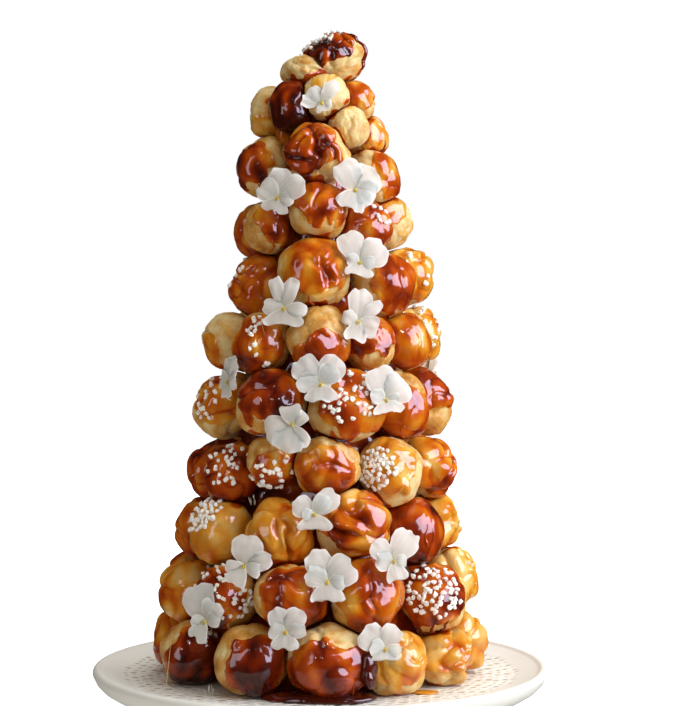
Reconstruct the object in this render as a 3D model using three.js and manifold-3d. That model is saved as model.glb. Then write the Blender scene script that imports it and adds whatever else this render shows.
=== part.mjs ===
// Croquembouche: a tapering tower of caramelled choux buns, dotted with pearl
// sugar and white violas, standing on a round ceramic plate with a lace rim.
// Units are millimetres, +Z is up, the front of the tower faces -Y, and the
// origin is the centre of the plate's foot.
import * as THREE from "three";
import { mergeVertices } from "three/addons/utils/BufferGeometryUtils.js";
import Module from "manifold-3d";

const wasm = await Module();
wasm.setup();

// ---------------------------------------------------------------- dimensions
const PLATE = {
  radius: 155, // widest part of the rolled rim
  rimHeight: 24, // top of the rim above the table
  wellHeight: 18, // floor that the tower stands on
  wellRadius: 134, // where the floor begins to rise into the rim
  footRadius: 104,
  footWidth: 9,
  footDepth: 6, // recess inside the foot ring
  sides: 48,
};

const FIT = 0.3; // air between neighbouring solids
const PRESS = 4.5; // how far settled buns lean into each other
const TOUCH = 1.1; // buns nearer than this share of their reaches may touch
const BASE_SHARE = 0.48; // a base bun's centre stands this share of its height up
const SETTLE_ROUNDS = 60;
const SHOWN_PULL = 0.2; // how firmly a shown bun keeps its place, per round
const HIDDEN_PULL = 0.3; // how firmly a bun behind keeps its ring and height
const BUN_DEPTH = 0.94; // reach towards the middle, as a share of the width
const BUN_SIDES = 9;
const BUN_RINGS = [1.78, 1.16, 0.58]; // polar angles from its crown of its rings of points
const BUN_LOBES = 9;
const GOLDEN_TURN = Math.PI * (3 - Math.sqrt(5)); // spreads the lobes evenly round a bun
const LOBE_HEIGHT = 1.09; // top of a lobe, as a share of the bun's radius
const LOBE_DEPTH = 0.16; // hollow between two lobes, as a share of the radius
const LOBE_REACH = 0.26; // 1 - cosine of a lobe's half angle
const DOME_TILT = 0.45; // radians that a bun's crown looks up from the side

const CORE_WAIST = 5; // how much slimmer the middle is between two rings
const CORE_SIDES = 14;

const NIB = { long: 3.8, wide: 2.9, thick: 2.5, sunk: 0.45, spread: 0.75 };

const VIOLA = {
  thick: 0.8,
  clear: 0.7, // air between a petal and the bun that it rests against
  ground: 22, // pearl sugar keeps this far from a flower's heart
  cup: 1.6, // the heart sits this far behind the middle of the petals
  curl: 1.2, // petal tips lean back this far
  ruffle: 0.9, // rise and fall along the edge
  near: 60, // buns further than this from a flower can't touch it
};

// Rings of buns from the plate up, each stuck to a slice of the tower's middle of
// radius `core`. Each front bun is
// [azimuth, lift, width, height, further out, sugar nibs], with the azimuth in
// degrees from the front, positive to the right; `behind` more close the ring.
const TIERS = [
  {
    ring: 93, core: 84, height: 41, lean: 0, behind: 5, size: 45,
    front: [[-96, -1, 44, 43, 2], [-66, -3, 42, 41, 1], [-29, 1, 48, 46], [3, 2, 52, 48],
      [31, -1, 43, 42], [60, -4, 42, 38], [88, -1, 42, 44]],
  },
  {
    ring: 87, core: 78, height: 80, lean: 0, behind: 6, size: 45,
    front: [[-80, -5, 44, 42, 2], [-45, -2, 44, 41, 0, 7], [-12, 2, 47, 42], [19, 3, 49, 48],
      [57, -5, 44, 44, 2, 9], [86, 4, 40, 40, 2]],
  },
  {
    ring: 75, core: 66, height: 121, lean: 0, behind: 4, size: 45,
    front: [[-92, -4, 42, 44, 2], [-57, -1, 43, 44, 2, 7], [-20, 0, 44, 44], [17, 5, 49, 46],
      [53, -1, 42, 44], [87, 0, 40, 40]],
  },
  {
    ring: 69, core: 60, height: 161, lean: 0, behind: 4, size: 44,
    front: [[-92, -5, 42, 44], [-57, -4, 38, 42, 0, 5], [-27, 8, 34, 36, 0, 3], [3, 4, 43, 38],
      [41, -1, 43, 46, 1, 10], [82, -2, 42, 42, 3]],
  },
  {
    ring: 65, core: 56, height: 203, lean: 0, behind: 4, size: 44,
    front: [[-77, -3, 42, 43, 1, 4], [-30, 1, 47, 46], [15, 0, 49, 49, 0, 8], [54, 0, 39, 46],
      [88, 0, 41, 47, 4]],
  },
  {
    ring: 59, core: 51, height: 246, lean: 0, behind: 3, size: 43,
    front: [[-80, -1, 40, 38, 2], [-40, -2, 37, 41, 0, 5], [-1, 2, 41, 45], [34, -2, 34, 38, -2],
      [66, -1, 37, 38, 2], [98, 2, 38, 40, 5]],
  },
  {
    ring: 48, core: 40, height: 286, lean: 6, behind: 3, size: 40,
    front: [[-75, -4, 40, 44], [-12, 4, 47, 49], [48, -3, 42, 42], [97, 2, 40, 41, 4]],
  },
  {
    ring: 41, core: 33, height: 325, lean: 1, behind: 2, size: 38,
    front: [[-105, -5, 36, 38, 3], [-59, -4, 36, 36], [-3, 6, 39, 37], [45, -4, 35, 34, 0, 2],
      [93, 2, 37, 38, 2]],
  },
  {
    ring: 33, core: 25, height: 363, lean: -2, behind: 2, size: 36,
    front: [[-80, -1, 38, 41, 3], [2, 6, 46, 42, -2], [84, -6, 37, 40, 4]],
  },
  {
    ring: 25, core: 18, height: 400, lean: -3, behind: 2, size: 34,
    front: [[-92, 0, 32, 36, 4], [-42, 3, 28, 35, -2], [12, 8, 32, 30, -4], [80, 5, 28, 29, 2],
      [42, -13, 28, 28, 6], [92, -20, 30, 32, 9]],
  },
  {
    ring: 10, core: 9, height: 432, lean: 0, behind: 0, size: 0,
    front: [[90, 2, 46, 34, -1, 6], [-50, -9, 36, 25, 1]],
  },
];

// Violas on the front, from the crown down: [azimuth, height, facing, roll, span].
// Roll turns the flower in its own plane; 0 has the lower petal hanging down.
const FRONT_VIOLAS = [
  [3, 404, 5, 15, 28], [-31, 340, -16, 0, 33], [28, 344, 14, 4, 34], [22, 299, 12, 0, 33],
  [-29, 267, -12, -5, 33], [23, 259, 14, 10, 34], [-1, 219, 0, 0, 34], [33, 210, 20, -20, 34],
  [-40, 219, -82, 8, 30], [-16, 190, -8, 180, 36], [-2, 136, 0, 0, 32], [-30, 101, -16, 20, 34],
  [4, 95, 2, 0, 36], [30, 105, 16, -10, 33], [-48, 67, -26, 15, 34], [-12, 62, -6, 5, 28],
  [21, 53, 12, -12, 29],
];
const BACK_VIOLAS = 7;
const BACK_ARC = { first: 112, span: 136, low: 66, high: 372 };

const COLOURS = {
  glaze: 0xf2ede6,
  caramel: [0xc9883c, 0xb5682a, 0xd29a52],
  petal: 0xf6f4ef,
};

// ------------------------------------------------------------------- helpers
const UP = new THREE.Vector3(0, 0, 1);

/** A repeatable number from 0 to 1 for a whole number. */
function chance(n) {
  const wave = Math.sin(n * 12.9898 + 4.1414) * 43758.5453;
  return wave - Math.floor(wave);
}

function between(n, low, high) {
  return low + (high - low) * chance(n);
}

/** Unit vector that looks out of the tower at an azimuth, tipped up by a tilt. */
function outward(azimuth, tilt = 0) {
  const turn = THREE.MathUtils.degToRad(azimuth);
  return new THREE.Vector3(
    Math.sin(turn) * Math.cos(tilt), -Math.cos(turn) * Math.cos(tilt), Math.sin(tilt));
}

/** Keeps only merged positions, so that the mesh is one closed skin. */
function skin(geometry) {
  for (const name of Object.keys(geometry.attributes)) {
    if (name !== "position") geometry.deleteAttribute(name);
  }
  return mergeVertices(geometry, 1e-4);
}

function toSolid(geometry) {
  const closed = geometry.index ? geometry : skin(geometry);
  return new wasm.Manifold(new wasm.Mesh({
    numProp: 3,
    vertProperties: new Float32Array(closed.attributes.position.array),
    triVerts: new Uint32Array(closed.index.array),
  }));
}

function toGeometry(solid) {
  const mesh = solid.getMesh();
  const geometry = new THREE.BufferGeometry();
  geometry.setAttribute("position", new THREE.BufferAttribute(new Float32Array(mesh.vertProperties), 3));
  geometry.setIndex(new THREE.BufferAttribute(new Uint32Array(mesh.triVerts), 1));
  return geometry;
}

/** The largest connected piece of a solid, without the scraps of a cut. */
function withoutScraps(solid) {
  const pieces = solid.decompose();
  return pieces.reduce((best, piece) => (piece.volume() > best.volume() ? piece : best));
}

function named(name, geometry, color, roughness) {
  geometry.computeVertexNormals();
  const mesh = new THREE.Mesh(
    geometry, new THREE.MeshStandardMaterial({ color, roughness, metalness: 0, flatShading: true }));
  mesh.name = name;
  return mesh;
}

// -------------------------------------------------------------------- layout
/** Every bun of a tier: the shown ones, then evenly spaced ones that close the ring. */
function bunsOfTier(tier, level) {
  const rows = tier.front.map(([azimuth, lift, width, height, out = 0, nibs = 0]) => (
    { azimuth, lift, width, height, out, nibs, shown: true }));
  const first = tier.front[tier.front.length - 1][0];
  const open = 360 + tier.front[0][0] - first;
  for (let i = 1; i <= tier.behind; i += 1) {
    const seed = level * 20 + i;
    rows.push({
      azimuth: first + (open * i) / (tier.behind + 1) + between(seed, -3, 3),
      lift: between(seed + 300, -4, 4),
      width: tier.size + between(seed + 600, -2, 2),
      height: tier.size + between(seed + 900, -3, 1),
      out: between(seed + 1200, -1, 2),
      nibs: chance(seed + 1500) > 0.8 ? 3 : 0,
      shown: false,
    });
  }
  return rows.map((row) => {
    const home = outward(row.azimuth).multiplyScalar(tier.ring + row.out);
    home.x += tier.lean;
    home.z = tier.height + row.lift;
    return { ...row, level, home, centre: home.clone() };
  });
}

/** Distance from a bun's centre to its outside along a direction, before it is turned. */
function reach(bun, direction) {
  return 1 / Math.hypot(
    Math.hypot(direction.x, direction.y) / (bun.width / 2), direction.z / (bun.height / 2));
}

/** The two buns of the crown are baked as one, so they don't part. */
function areOne(one, other) {
  return one.level === other.level && one.level === TIERS.length - 1;
}

/** Pushes two buns apart by what they press into each other. */
function pushApart(one, other) {
  const gap = other.centre.clone().sub(one.centre);
  const distance = gap.length();
  gap.divideScalar(distance);
  const excess = reach(one, gap) + reach(other, gap) - PRESS - distance;
  if (excess <= 0) return;
  one.centre.addScaledVector(gap, -excess * 0.3);
  other.centre.addScaledVector(gap, excess * 0.3);
}

/** Pulls a bun back: a shown one to its place, one behind to its ring and height. */
function pullHome(bun) {
  if (bun.shown) {
    bun.centre.lerp(bun.home, SHOWN_PULL);
  } else {
    const tier = TIERS[bun.level];
    const away = Math.hypot(bun.centre.x - tier.lean, bun.centre.y);
    const pull = 1 + HIDDEN_PULL * ((tier.ring + bun.out) / away - 1);
    bun.centre.x = tier.lean + (bun.centre.x - tier.lean) * pull;
    bun.centre.y *= pull;
    bun.centre.z += (bun.home.z - bun.centre.z) * HIDDEN_PULL;
  }
  if (bun.level === 0) bun.centre.z = PLATE.wellHeight + FIT + bun.height * BASE_SHARE;
}

/** Settles the buns until each leans on its neighbours, as when a tower is stacked. */
function settle(buns) {
  for (let round = 0; round < SETTLE_ROUNDS; round += 1) {
    for (const bun of buns) {
      for (const other of buns) {
        const near = other.index > bun.index && other.level - bun.level < 2;
        if (near && !areOne(bun, other)) pushApart(bun, other);
      }
    }
    buns.forEach(pullHome);
  }
}

/** Gives a bun its own axes, with the crown facing outwards and a little up. */
function orient(bun) {
  const seed = bun.index * 31;
  const azimuth = Math.atan2(bun.centre.x - TIERS[bun.level].lean, -bun.centre.y);
  bun.crown = outward(THREE.MathUtils.radToDeg(azimuth) + between(seed + 1, -14, 14), DOME_TILT);
  bun.side = new THREE.Vector3().crossVectors(UP, bun.crown).normalize();
  bun.top = new THREE.Vector3().crossVectors(bun.crown, bun.side);
  bun.half = new THREE.Vector3(bun.width / 2, bun.height / 2, (bun.width * BUN_DEPTH) / 2);
  bun.lobes = [];
  const twist = chance(seed + 2) * Math.PI * 2;
  for (let i = 0; i < BUN_LOBES; i += 1) {
    const lift = 1 - (2 * (i + 0.5)) / BUN_LOBES;
    const turn = twist + i * GOLDEN_TURN + between(seed + 3 + i, -0.35, 0.35);
    const flat = Math.sqrt(1 - lift * lift);
    bun.lobes.push(new THREE.Vector3(flat * Math.cos(turn), flat * Math.sin(turn), lift));
  }
}

/** A direction in a bun's own axes: across, along its top, and out of its crown. */
function inBunAxes(bun, direction) {
  return new THREE.Vector3(direction.dot(bun.side), direction.dot(bun.top), direction.dot(bun.crown));
}

// ---------------------------------------------------------------- choux buns
/** Height of a lobed bun's surface in one of its own directions, as a share of its radius. */
function bunSwell(bun, own) {
  let nearest = -1;
  for (const lobe of bun.lobes) nearest = Math.max(nearest, own.dot(lobe));
  return LOBE_HEIGHT - LOBE_DEPTH * Math.min(1, (1 - nearest) / LOBE_REACH);
}

/** Flats where a bun leans on a neighbour or stands on the plate. */
function findFlats(bun, buns) {
  bun.flats = [];
  for (const other of buns) {
    if (other === bun || Math.abs(other.level - bun.level) > 1 || areOne(bun, other)) continue;
    const toward = other.centre.clone().sub(bun.centre);
    const distance = toward.length();
    toward.divideScalar(distance);
    const own = reach(bun, toward);
    const theirs = reach(other, toward);
    if ((own + theirs) * LOBE_HEIGHT * TOUCH < distance) continue;
    bun.flats.push({ toward, away: (distance * own) / (own + theirs) - FIT / 2 });
  }
  if (bun.level === 0) {
    bun.flats.push({ toward: UP.clone().negate(), away: bun.centre.z - PLATE.wellHeight - FIT });
  }
}

/** Point of a bun's surface in one of its own directions, raised by a margin. */
function bunPoint(bun, own, margin = 0) {
  const ray = new THREE.Vector3()
    .addScaledVector(bun.side, own.x * bun.half.x)
    .addScaledVector(bun.top, own.y * bun.half.y)
    .addScaledVector(bun.crown, own.z * bun.half.z);
  let length = ray.length() * bunSwell(bun, own);
  ray.normalize();
  for (const flat of bun.flats) {
    const facing = ray.dot(flat.toward);
    if (facing > 0) length = Math.min(length, flat.away / facing);
  }
  return bun.centre.clone().addScaledVector(ray, length + margin);
}

/** A bun as rings of points round its crown, closed to a point inside the tower. */
function bunSolid(bun, margin = 0) {
  const profile = [
    new THREE.Vector2(0, -1),
    ...BUN_RINGS.map((polar) => new THREE.Vector2(Math.sin(polar), Math.cos(polar))),
    new THREE.Vector2(0, 1),
  ];
  const ball = skin(new THREE.LatheGeometry(profile, BUN_SIDES, bun.index));
  ball.rotateX(Math.PI / 2);
  const place = ball.attributes.position;
  for (let i = 0; i < place.count; i += 1) {
    const own = new THREE.Vector3().fromBufferAttribute(place, i).normalize();
    const point = bunPoint(bun, own, margin);
    place.setXYZ(i, point.x, point.y, point.z);
  }
  return toSolid(ball);
}

/** Pearl sugar: small chunks half sunk in the caramel on a bun's crown. */
function nibSolids(bun, hearts) {
  const solids = [];
  for (let i = 0; i < bun.nibs; i += 1) {
    const seed = bun.index * 31 + 50 + i * 7;
    const turn = chance(seed) * Math.PI * 2;
    const away = Math.sqrt((i + 0.4) / bun.nibs) * NIB.spread;
    const own = new THREE.Vector3(
      Math.sin(away) * Math.cos(turn), Math.sin(away) * Math.sin(turn), Math.cos(away));
    const place = bunPoint(bun, own, NIB.thick * (0.5 - NIB.sunk));
    if (hearts.some((heart) => heart.distanceTo(place) < VIOLA.ground)) continue;
    const nib = new THREE.BoxGeometry(NIB.long, NIB.wide, NIB.thick);
    const outwards = place.clone().sub(bun.centre).normalize();
    nib.rotateZ(chance(seed + 1) * Math.PI);
    nib.applyQuaternion(new THREE.Quaternion().setFromUnitVectors(UP, outwards));
    nib.translate(place.x, place.y, place.z);
    solids.push(toSolid(skin(nib)));
  }
  return solids;
}

/** Slice of the tapering middle that a ring of buns is stuck to, waisted at both ends. */
function coreSlice(level) {
  const tier = TIERS[level];
  const [below, above] = [TIERS[level - 1], TIERS[level + 1]];
  const low = (below ? (below.height + tier.height) / 2 : PLATE.wellHeight) + FIT;
  const high = above ? (above.height + tier.height) / 2 : tier.height;
  const waist = (other) => (other ? Math.min(tier.core, other.core) - CORE_WAIST : tier.core);
  const profile = [
    new THREE.Vector2(0, low), new THREE.Vector2(waist(below), low),
    new THREE.Vector2(tier.core, (low + high) / 2), new THREE.Vector2(waist(above), high),
    new THREE.Vector2(0, high),
  ];
  const slice = new THREE.LatheGeometry(profile, CORE_SIDES);
  slice.rotateX(Math.PI / 2);
  slice.translate(tier.lean, 0, 0);
  return toSolid(skin(slice));
}

/** One ring of buns and their sugar, fused to its slice of the middle and clear of the
    rings next to it; `hearts` are the places of the flowers. */
function tierSolid(level, rings, hearts) {
  let slice = coreSlice(level);
  for (const other of [...(rings[level - 1] ?? []), ...(rings[level + 1] ?? [])]) {
    slice = slice.subtract(bunSolid(other, FIT));
  }
  slice = withoutScraps(slice);
  for (const bun of rings[level]) {
    slice = slice.add(bunSolid(bun));
    for (const nib of nibSolids(bun, hearts)) slice = slice.add(nib);
  }
  return withoutScraps(slice);
}

// -------------------------------------------------------------------- violas
/** Petals as [direction in degrees from up, half angle, length as a share of the span]. */
const PETALS = [[-31, 33, 0.56], [31, 33, 0.58], [103, 39, 0.48], [180, 40, 0.45], [-103, 39, 0.48]];
/** Points along a petal's edge as [share of its half angle, share of its length]. */
const PETAL_EDGE = [[-1, 0.64], [-0.55, 0.97], [0, 1], [0.55, 0.97]];

/** Points of one face of a viola in its own plane: heart, petal middles, wavy edge. */
function violaFace(span, seed, back) {
  const middles = [];
  const edge = [];
  PETALS.forEach(([direction, half, length], petal) => {
    PETAL_EDGE.forEach(([share, reachShare], step) => {
      const turn = THREE.MathUtils.degToRad(direction + share * half);
      const radius = span * length * reachShare;
      const wave = VIOLA.ruffle * (between(seed + petal * 4 + step, -1, 1) + (petal % 2 ? 0.8 : -0.8));
      const rise = step === 0 ? -1 : wave - VIOLA.curl;
      edge.push([Math.sin(turn) * radius, Math.cos(turn) * radius, rise - back]);
    });
    const turn = THREE.MathUtils.degToRad(direction);
    const radius = span * length * 0.55;
    middles.push([Math.sin(turn) * radius, Math.cos(turn) * radius, 0.6 - back]);
  });
  return [[0, 0, -VIOLA.cup - back], ...middles, ...edge];
}

/** Thin wavy flower: both faces have the same triangles, joined along the edge. */
function violaGeometry(span, seed) {
  const front = violaFace(span, seed, 0);
  const rear = violaFace(span, seed, VIOLA.thick);
  const petals = PETALS.length;
  const steps = PETAL_EDGE.length;
  const middle = (petal) => 1 + (petal % petals);
  const edge = (step) => 1 + petals + (step % (petals * steps));
  const face = [];
  for (let petal = 0; petal < petals; petal += 1) {
    const notch = edge((petal + 1) * steps);
    face.push([0, middle(petal + 1), middle(petal)], [middle(petal), middle(petal + 1), notch]);
    for (let step = 0; step < steps; step += 1) {
      const at = petal * steps + step;
      face.push([middle(petal), edge(at + 1), edge(at)]);
    }
  }
  const index = [];
  for (const [a, b, c] of face) {
    index.push(a, b, c, a + front.length, c + front.length, b + front.length);
  }
  for (let step = 0; step < petals * steps; step += 1) {
    const [a, b] = [edge(step), edge(step + 1)];
    index.push(a, b, b + front.length, a, b + front.length, a + front.length);
  }
  const geometry = new THREE.BufferGeometry();
  geometry.setAttribute("position", new THREE.Float32BufferAttribute([...front, ...rear].flat(), 3));
  geometry.setIndex(index);
  return geometry;
}

function violaRows() {
  const rows = FRONT_VIOLAS.map(([azimuth, height, facing, roll, span]) => (
    { azimuth, height, facing, roll, span }));
  for (let i = 0; i < BACK_VIOLAS; i += 1) {
    const azimuth = BACK_ARC.first + ((i * 0.618 + 0.2) % 1) * BACK_ARC.span;
    rows.push({
      azimuth,
      height: BACK_ARC.high + ((BACK_ARC.low - BACK_ARC.high) * i) / (BACK_VIOLAS - 1),
      facing: azimuth,
      roll: between(i + 70, -30, 30),
      span: between(i + 80, 29, 35),
    });
  }
  return rows;
}

/** Slides a flower out along its facing until every petal is clear of every bun. */
function restOnBuns(mesh, facing, buns) {
  const place = mesh.geometry.attributes.position;
  let travel = -Infinity;
  const corners = [];
  for (let i = 0; i < place.count; i += 1) {
    const corner = new THREE.Vector3().fromBufferAttribute(place, i);
    corners.push(corner.applyQuaternion(mesh.quaternion).add(mesh.position));
  }
  const faces = mesh.geometry.index.array;
  const samples = [...corners];
  for (let i = 0; i < faces.length; i += 3) {
    const [a, b, c] = [0, 1, 2].map((k) => corners[faces[i + k]]);
    samples.push(a.clone().lerp(b, 0.5), b.clone().lerp(c, 0.5), a.clone().add(b).add(c).divideScalar(3));
  }
  for (const bun of buns) {
    if (bun.centre.distanceTo(mesh.position) > bun.width + VIOLA.near) continue;
    const size = bun.half.clone().multiplyScalar(LOBE_HEIGHT).addScalar(VIOLA.clear);
    const step = inBunAxes(bun, facing).divide(size);
    for (const sample of samples) {
      const from = inBunAxes(bun, sample.clone().sub(bun.centre)).divide(size);
      const a = step.dot(step);
      const b = from.dot(step);
      const reachSquared = b * b - a * (from.dot(from) - 1);
      if (reachSquared > 0) travel = Math.max(travel, (Math.sqrt(reachSquared) - b) / a);
    }
  }
  mesh.position.addScaledVector(facing, travel);
}

function viola(row, index, buns) {
  const mesh = named(
    `viola_${String(index + 1).padStart(2, "0")}`,
    violaGeometry(row.span, index * 23), COLOURS.petal, 0.6);
  const facing = outward(row.facing, 0.1);
  const side = new THREE.Vector3().crossVectors(UP, facing).normalize();
  const top = new THREE.Vector3().crossVectors(facing, side);
  const roll = new THREE.Quaternion().setFromAxisAngle(facing, THREE.MathUtils.degToRad(-row.roll));
  mesh.quaternion.setFromRotationMatrix(new THREE.Matrix4().makeBasis(side, top, facing)).premultiply(roll);
  const tier = TIERS.reduce((best, each) => (
    Math.abs(each.height - row.height) < Math.abs(best.height - row.height) ? each : best));
  mesh.position.copy(outward(row.azimuth).multiplyScalar(tier.ring));
  mesh.position.x += tier.lean;
  mesh.position.z = row.height;
  restOnBuns(mesh, facing, buns);
  return mesh;
}

// --------------------------------------------------------------------- plate
/** Round plate: foot ring, sloping wall, rolled rim, gentle slope to a flat well. */
function plate() {
  const { radius, rimHeight, wellHeight, wellRadius, footRadius, footWidth, footDepth } = PLATE;
  const lip = 3;
  const profile = [
    [0, footDepth], [footRadius - footWidth - 3, footDepth], [footRadius - footWidth, 0], [footRadius, 0],
    [footRadius + 5, footDepth - 1], [radius - 18, footDepth], [radius - 7, footDepth + 4],
    [radius, rimHeight - 2 * lip], [radius - 1, rimHeight - 0.5 * lip], [radius - lip, rimHeight],
    [radius - 2 * lip, rimHeight - 0.5 * lip], [wellRadius, wellHeight + 0.8], [wellRadius - 8, wellHeight],
    [0, wellHeight],
  ];
  const body = new THREE.LatheGeometry(profile.map(([r, z]) => new THREE.Vector2(r, z)), PLATE.sides);
  body.rotateX(Math.PI / 2);
  return named("plate", skin(body), COLOURS.glaze, 0.3);
}

// ------------------------------------------------------------------ assembly
const rings = TIERS.map(bunsOfTier);
const buns = rings.flat();
buns.forEach((bun, index) => {
  bun.index = index;
});
settle(buns);
buns.forEach(orient);
buns.forEach((bun) => findFlats(bun, buns));

const violas = violaRows().map((row, index) => viola(row, index, buns));
const hearts = violas.map((flower) => flower.position);

const croquembouche = new THREE.Group();
croquembouche.name = "croquembouche";
croquembouche.add(plate());
TIERS.forEach((tier, level) => {
  const name = level === TIERS.length - 1 ? "crown_buns" : `bun_ring_${String(level + 1).padStart(2, "0")}`;
  const solid = tierSolid(level, rings, hearts);
  const ring = named(name, toGeometry(solid).translate(0, 0, -tier.height),
    COLOURS.caramel[level % COLOURS.caramel.length], 0.35);
  ring.position.z = tier.height;
  croquembouche.add(ring);
});
violas.forEach((flower) => croquembouche.add(flower));

export default croquembouche;
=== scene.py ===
"""Croquembouche: caramelled choux buns with pearl sugar and white violas on a lace-rimmed plate.

Lengths are written in millimetres and become metres when a mesh is made. +Z is up and the
front of the tower faces -Y.
"""
import math

import bmesh
import bpy
import numpy as np
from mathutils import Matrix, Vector


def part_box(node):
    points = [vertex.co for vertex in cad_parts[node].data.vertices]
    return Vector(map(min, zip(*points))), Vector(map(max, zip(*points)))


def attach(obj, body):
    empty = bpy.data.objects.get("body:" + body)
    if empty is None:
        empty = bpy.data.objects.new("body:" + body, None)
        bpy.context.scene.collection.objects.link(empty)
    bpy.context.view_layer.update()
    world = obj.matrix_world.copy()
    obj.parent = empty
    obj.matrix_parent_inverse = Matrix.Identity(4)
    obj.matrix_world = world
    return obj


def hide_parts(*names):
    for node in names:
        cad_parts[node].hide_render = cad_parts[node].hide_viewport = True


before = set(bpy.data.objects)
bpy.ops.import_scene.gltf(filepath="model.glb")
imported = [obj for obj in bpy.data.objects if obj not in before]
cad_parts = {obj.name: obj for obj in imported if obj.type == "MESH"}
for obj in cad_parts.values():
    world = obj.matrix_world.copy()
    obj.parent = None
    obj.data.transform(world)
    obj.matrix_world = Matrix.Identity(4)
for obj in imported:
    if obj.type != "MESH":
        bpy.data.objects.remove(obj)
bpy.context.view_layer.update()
MM = 0.001
UP = np.array([0.0, 0.0, 1.0])

# ------------------------------------------------------------------ camera and lamps
CAMERA_AT = (0, -1400, 278.4)
CAMERA_AIM = (14.4, 0, 236.3)
CAMERA_LENS = 104.8  # mm, on a 36 mm sensor along the long side
LAMP_AIM = (0, 0, 210)  # middle of the tower


def look_at(thing, place, aim):
    """Puts a camera or lamp at a place, in millimetres, and points it at another."""
    thing.location = Vector(place) * MM
    thing.rotation_euler = (Vector(aim) - Vector(place)).to_track_quat("-Z", "Y").to_euler()


def make_camera():
    data = bpy.data.cameras.new("camera")
    data.lens = CAMERA_LENS
    camera = bpy.data.objects.new("camera", data)
    bpy.context.scene.collection.objects.link(camera)
    look_at(camera, CAMERA_AT, CAMERA_AIM)
    bpy.context.scene.camera = camera


def area_lamp(name, place, size, power, colour, lights=True, mirrored=True):
    """A rectangular soft box that points at the tower; it lights it, shows in its gloss, or both."""
    data = bpy.data.lights.new(name, "AREA")
    data.shape = "RECTANGLE"
    data.size, data.size_y = size[0] * MM, size[1] * MM
    data.energy = power
    data.color = colour
    lamp = bpy.data.objects.new(name, data)
    bpy.context.scene.collection.objects.link(lamp)
    lamp.visible_diffuse = lights
    lamp.visible_glossy = mirrored
    look_at(lamp, place, LAMP_AIM)


make_camera()


# ------------------------------------------------------------------ shading helpers
class Value:
    """A number on a node's output; arithmetic on it adds Math nodes."""

    def __init__(self, surface, socket):
        self.surface = surface
        self.socket = socket

    def math(self, operation, *others, clamp=False):
        sockets = dict(enumerate((self, *others)))
        settings = {"operation": operation, "use_clamp": clamp}
        return self.surface.add("ShaderNodeMath", settings, sockets)

    def __add__(self, other):
        return self.math("ADD", other)

    def __mul__(self, other):
        return self.math("MULTIPLY", other)

    def __sub__(self, other):
        return self.math("SUBTRACT", other)

    __radd__ = __add__
    __rmul__ = __mul__

    def __rsub__(self, other):
        return (self * -1) + other

    def clamped(self):
        return self.math("ADD", 0, clamp=True)

    def rise(self, low, high):
        """0 below low, 1 above high, and a smooth step between."""
        settings = {"interpolation_type": "SMOOTHSTEP"}
        sockets = {"Value": self, "From Min": low, "From Max": high}
        return self.surface.add("ShaderNodeMapRange", settings, sockets)


class Surface:
    """A material, or the surroundings, built node by node."""

    def __init__(self, name, kind=bpy.data.materials):
        self.material = kind.new(name)
        self.material.use_nodes = True
        self.tree = self.material.node_tree
        self.tree.nodes.clear()

    def add(self, kind, settings=None, sockets=None, output=0):
        """One node with its settings made first, then its sockets; returns one output."""
        node = self.tree.nodes.new(kind)
        for key, setting in (settings or {}).items():
            if key == "stops":
                self.set_stops(node.color_ramp, setting)
            else:
                setattr(node, key, setting)
        for key, value in (sockets or {}).items():
            if isinstance(value, Value):
                self.tree.links.new(value.socket, node.inputs[key])
            else:
                node.inputs[key].default_value = value
        return Value(self, node.outputs[output]) if node.outputs else None

    @staticmethod
    def set_stops(ramp, stops):
        while len(ramp.elements) < len(stops):
            ramp.elements.new(0.5)
        for element, (place, colour) in zip(ramp.elements, stops):
            element.position = place
            element.color = (*colour, 1)

    def attribute(self, name):
        return self.add("ShaderNodeAttribute", {"attribute_name": name}, output="Fac")

    def place(self):
        """The place on the piece, in metres."""
        return self.add("ShaderNodeTexCoord", output="Object")

    def noise(self, size, detail=2.0, roughness=0.5):
        """Even noise from 0 to 1 whose spots are about a size in millimetres."""
        sockets = {"Vector": self.place(), "Scale": 1 / (size * MM), "Detail": detail,
                   "Roughness": roughness}
        return self.add("ShaderNodeTexNoise", {}, sockets)

    def ramp(self, value, stops):
        return self.add("ShaderNodeValToRGB", {"stops": stops}, {"Fac": value})

    def mix(self, factor, one, other, blend="MIX"):
        """Mixes two colours; 0, 6 and 7 are the factor's and the colours' sockets."""
        settings = {"data_type": "RGBA", "blend_type": blend}
        colours = [c if isinstance(c, Value) else (*c, 1) for c in (one, other)]
        return self.add("ShaderNodeMix", settings, {0: factor, 6: colours[0], 7: colours[1]}, output=2)

    def bump(self, height, distance, strength=1.0):
        """A bump from a height in 0 to 1 and how deep that is, in millimetres."""
        sockets = {"Height": height, "Distance": distance * MM, "Strength": strength}
        return self.add("ShaderNodeBump", {}, sockets)

    def finish(self, **sockets):
        """Ends in one Principled shader; a socket's name has _ for its spaces."""
        named = {key.replace("_", " "): value for key, value in sockets.items()}
        shader = self.add("ShaderNodeBsdfPrincipled", {}, named)
        self.add("ShaderNodeOutputMaterial", {}, {"Surface": shader})
        return self.material


# ------------------------------------------------------------------ finishes
CRUST = [
    (0.1, (0.750, 0.580, 0.282)),  # pale
    (0.5, (0.612, 0.318, 0.075)),  # golden
    (0.95, (0.370, 0.135, 0.018)),  # brown
]
CANDIED_CRUST = (0.90, 0.66, 0.38)
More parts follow.
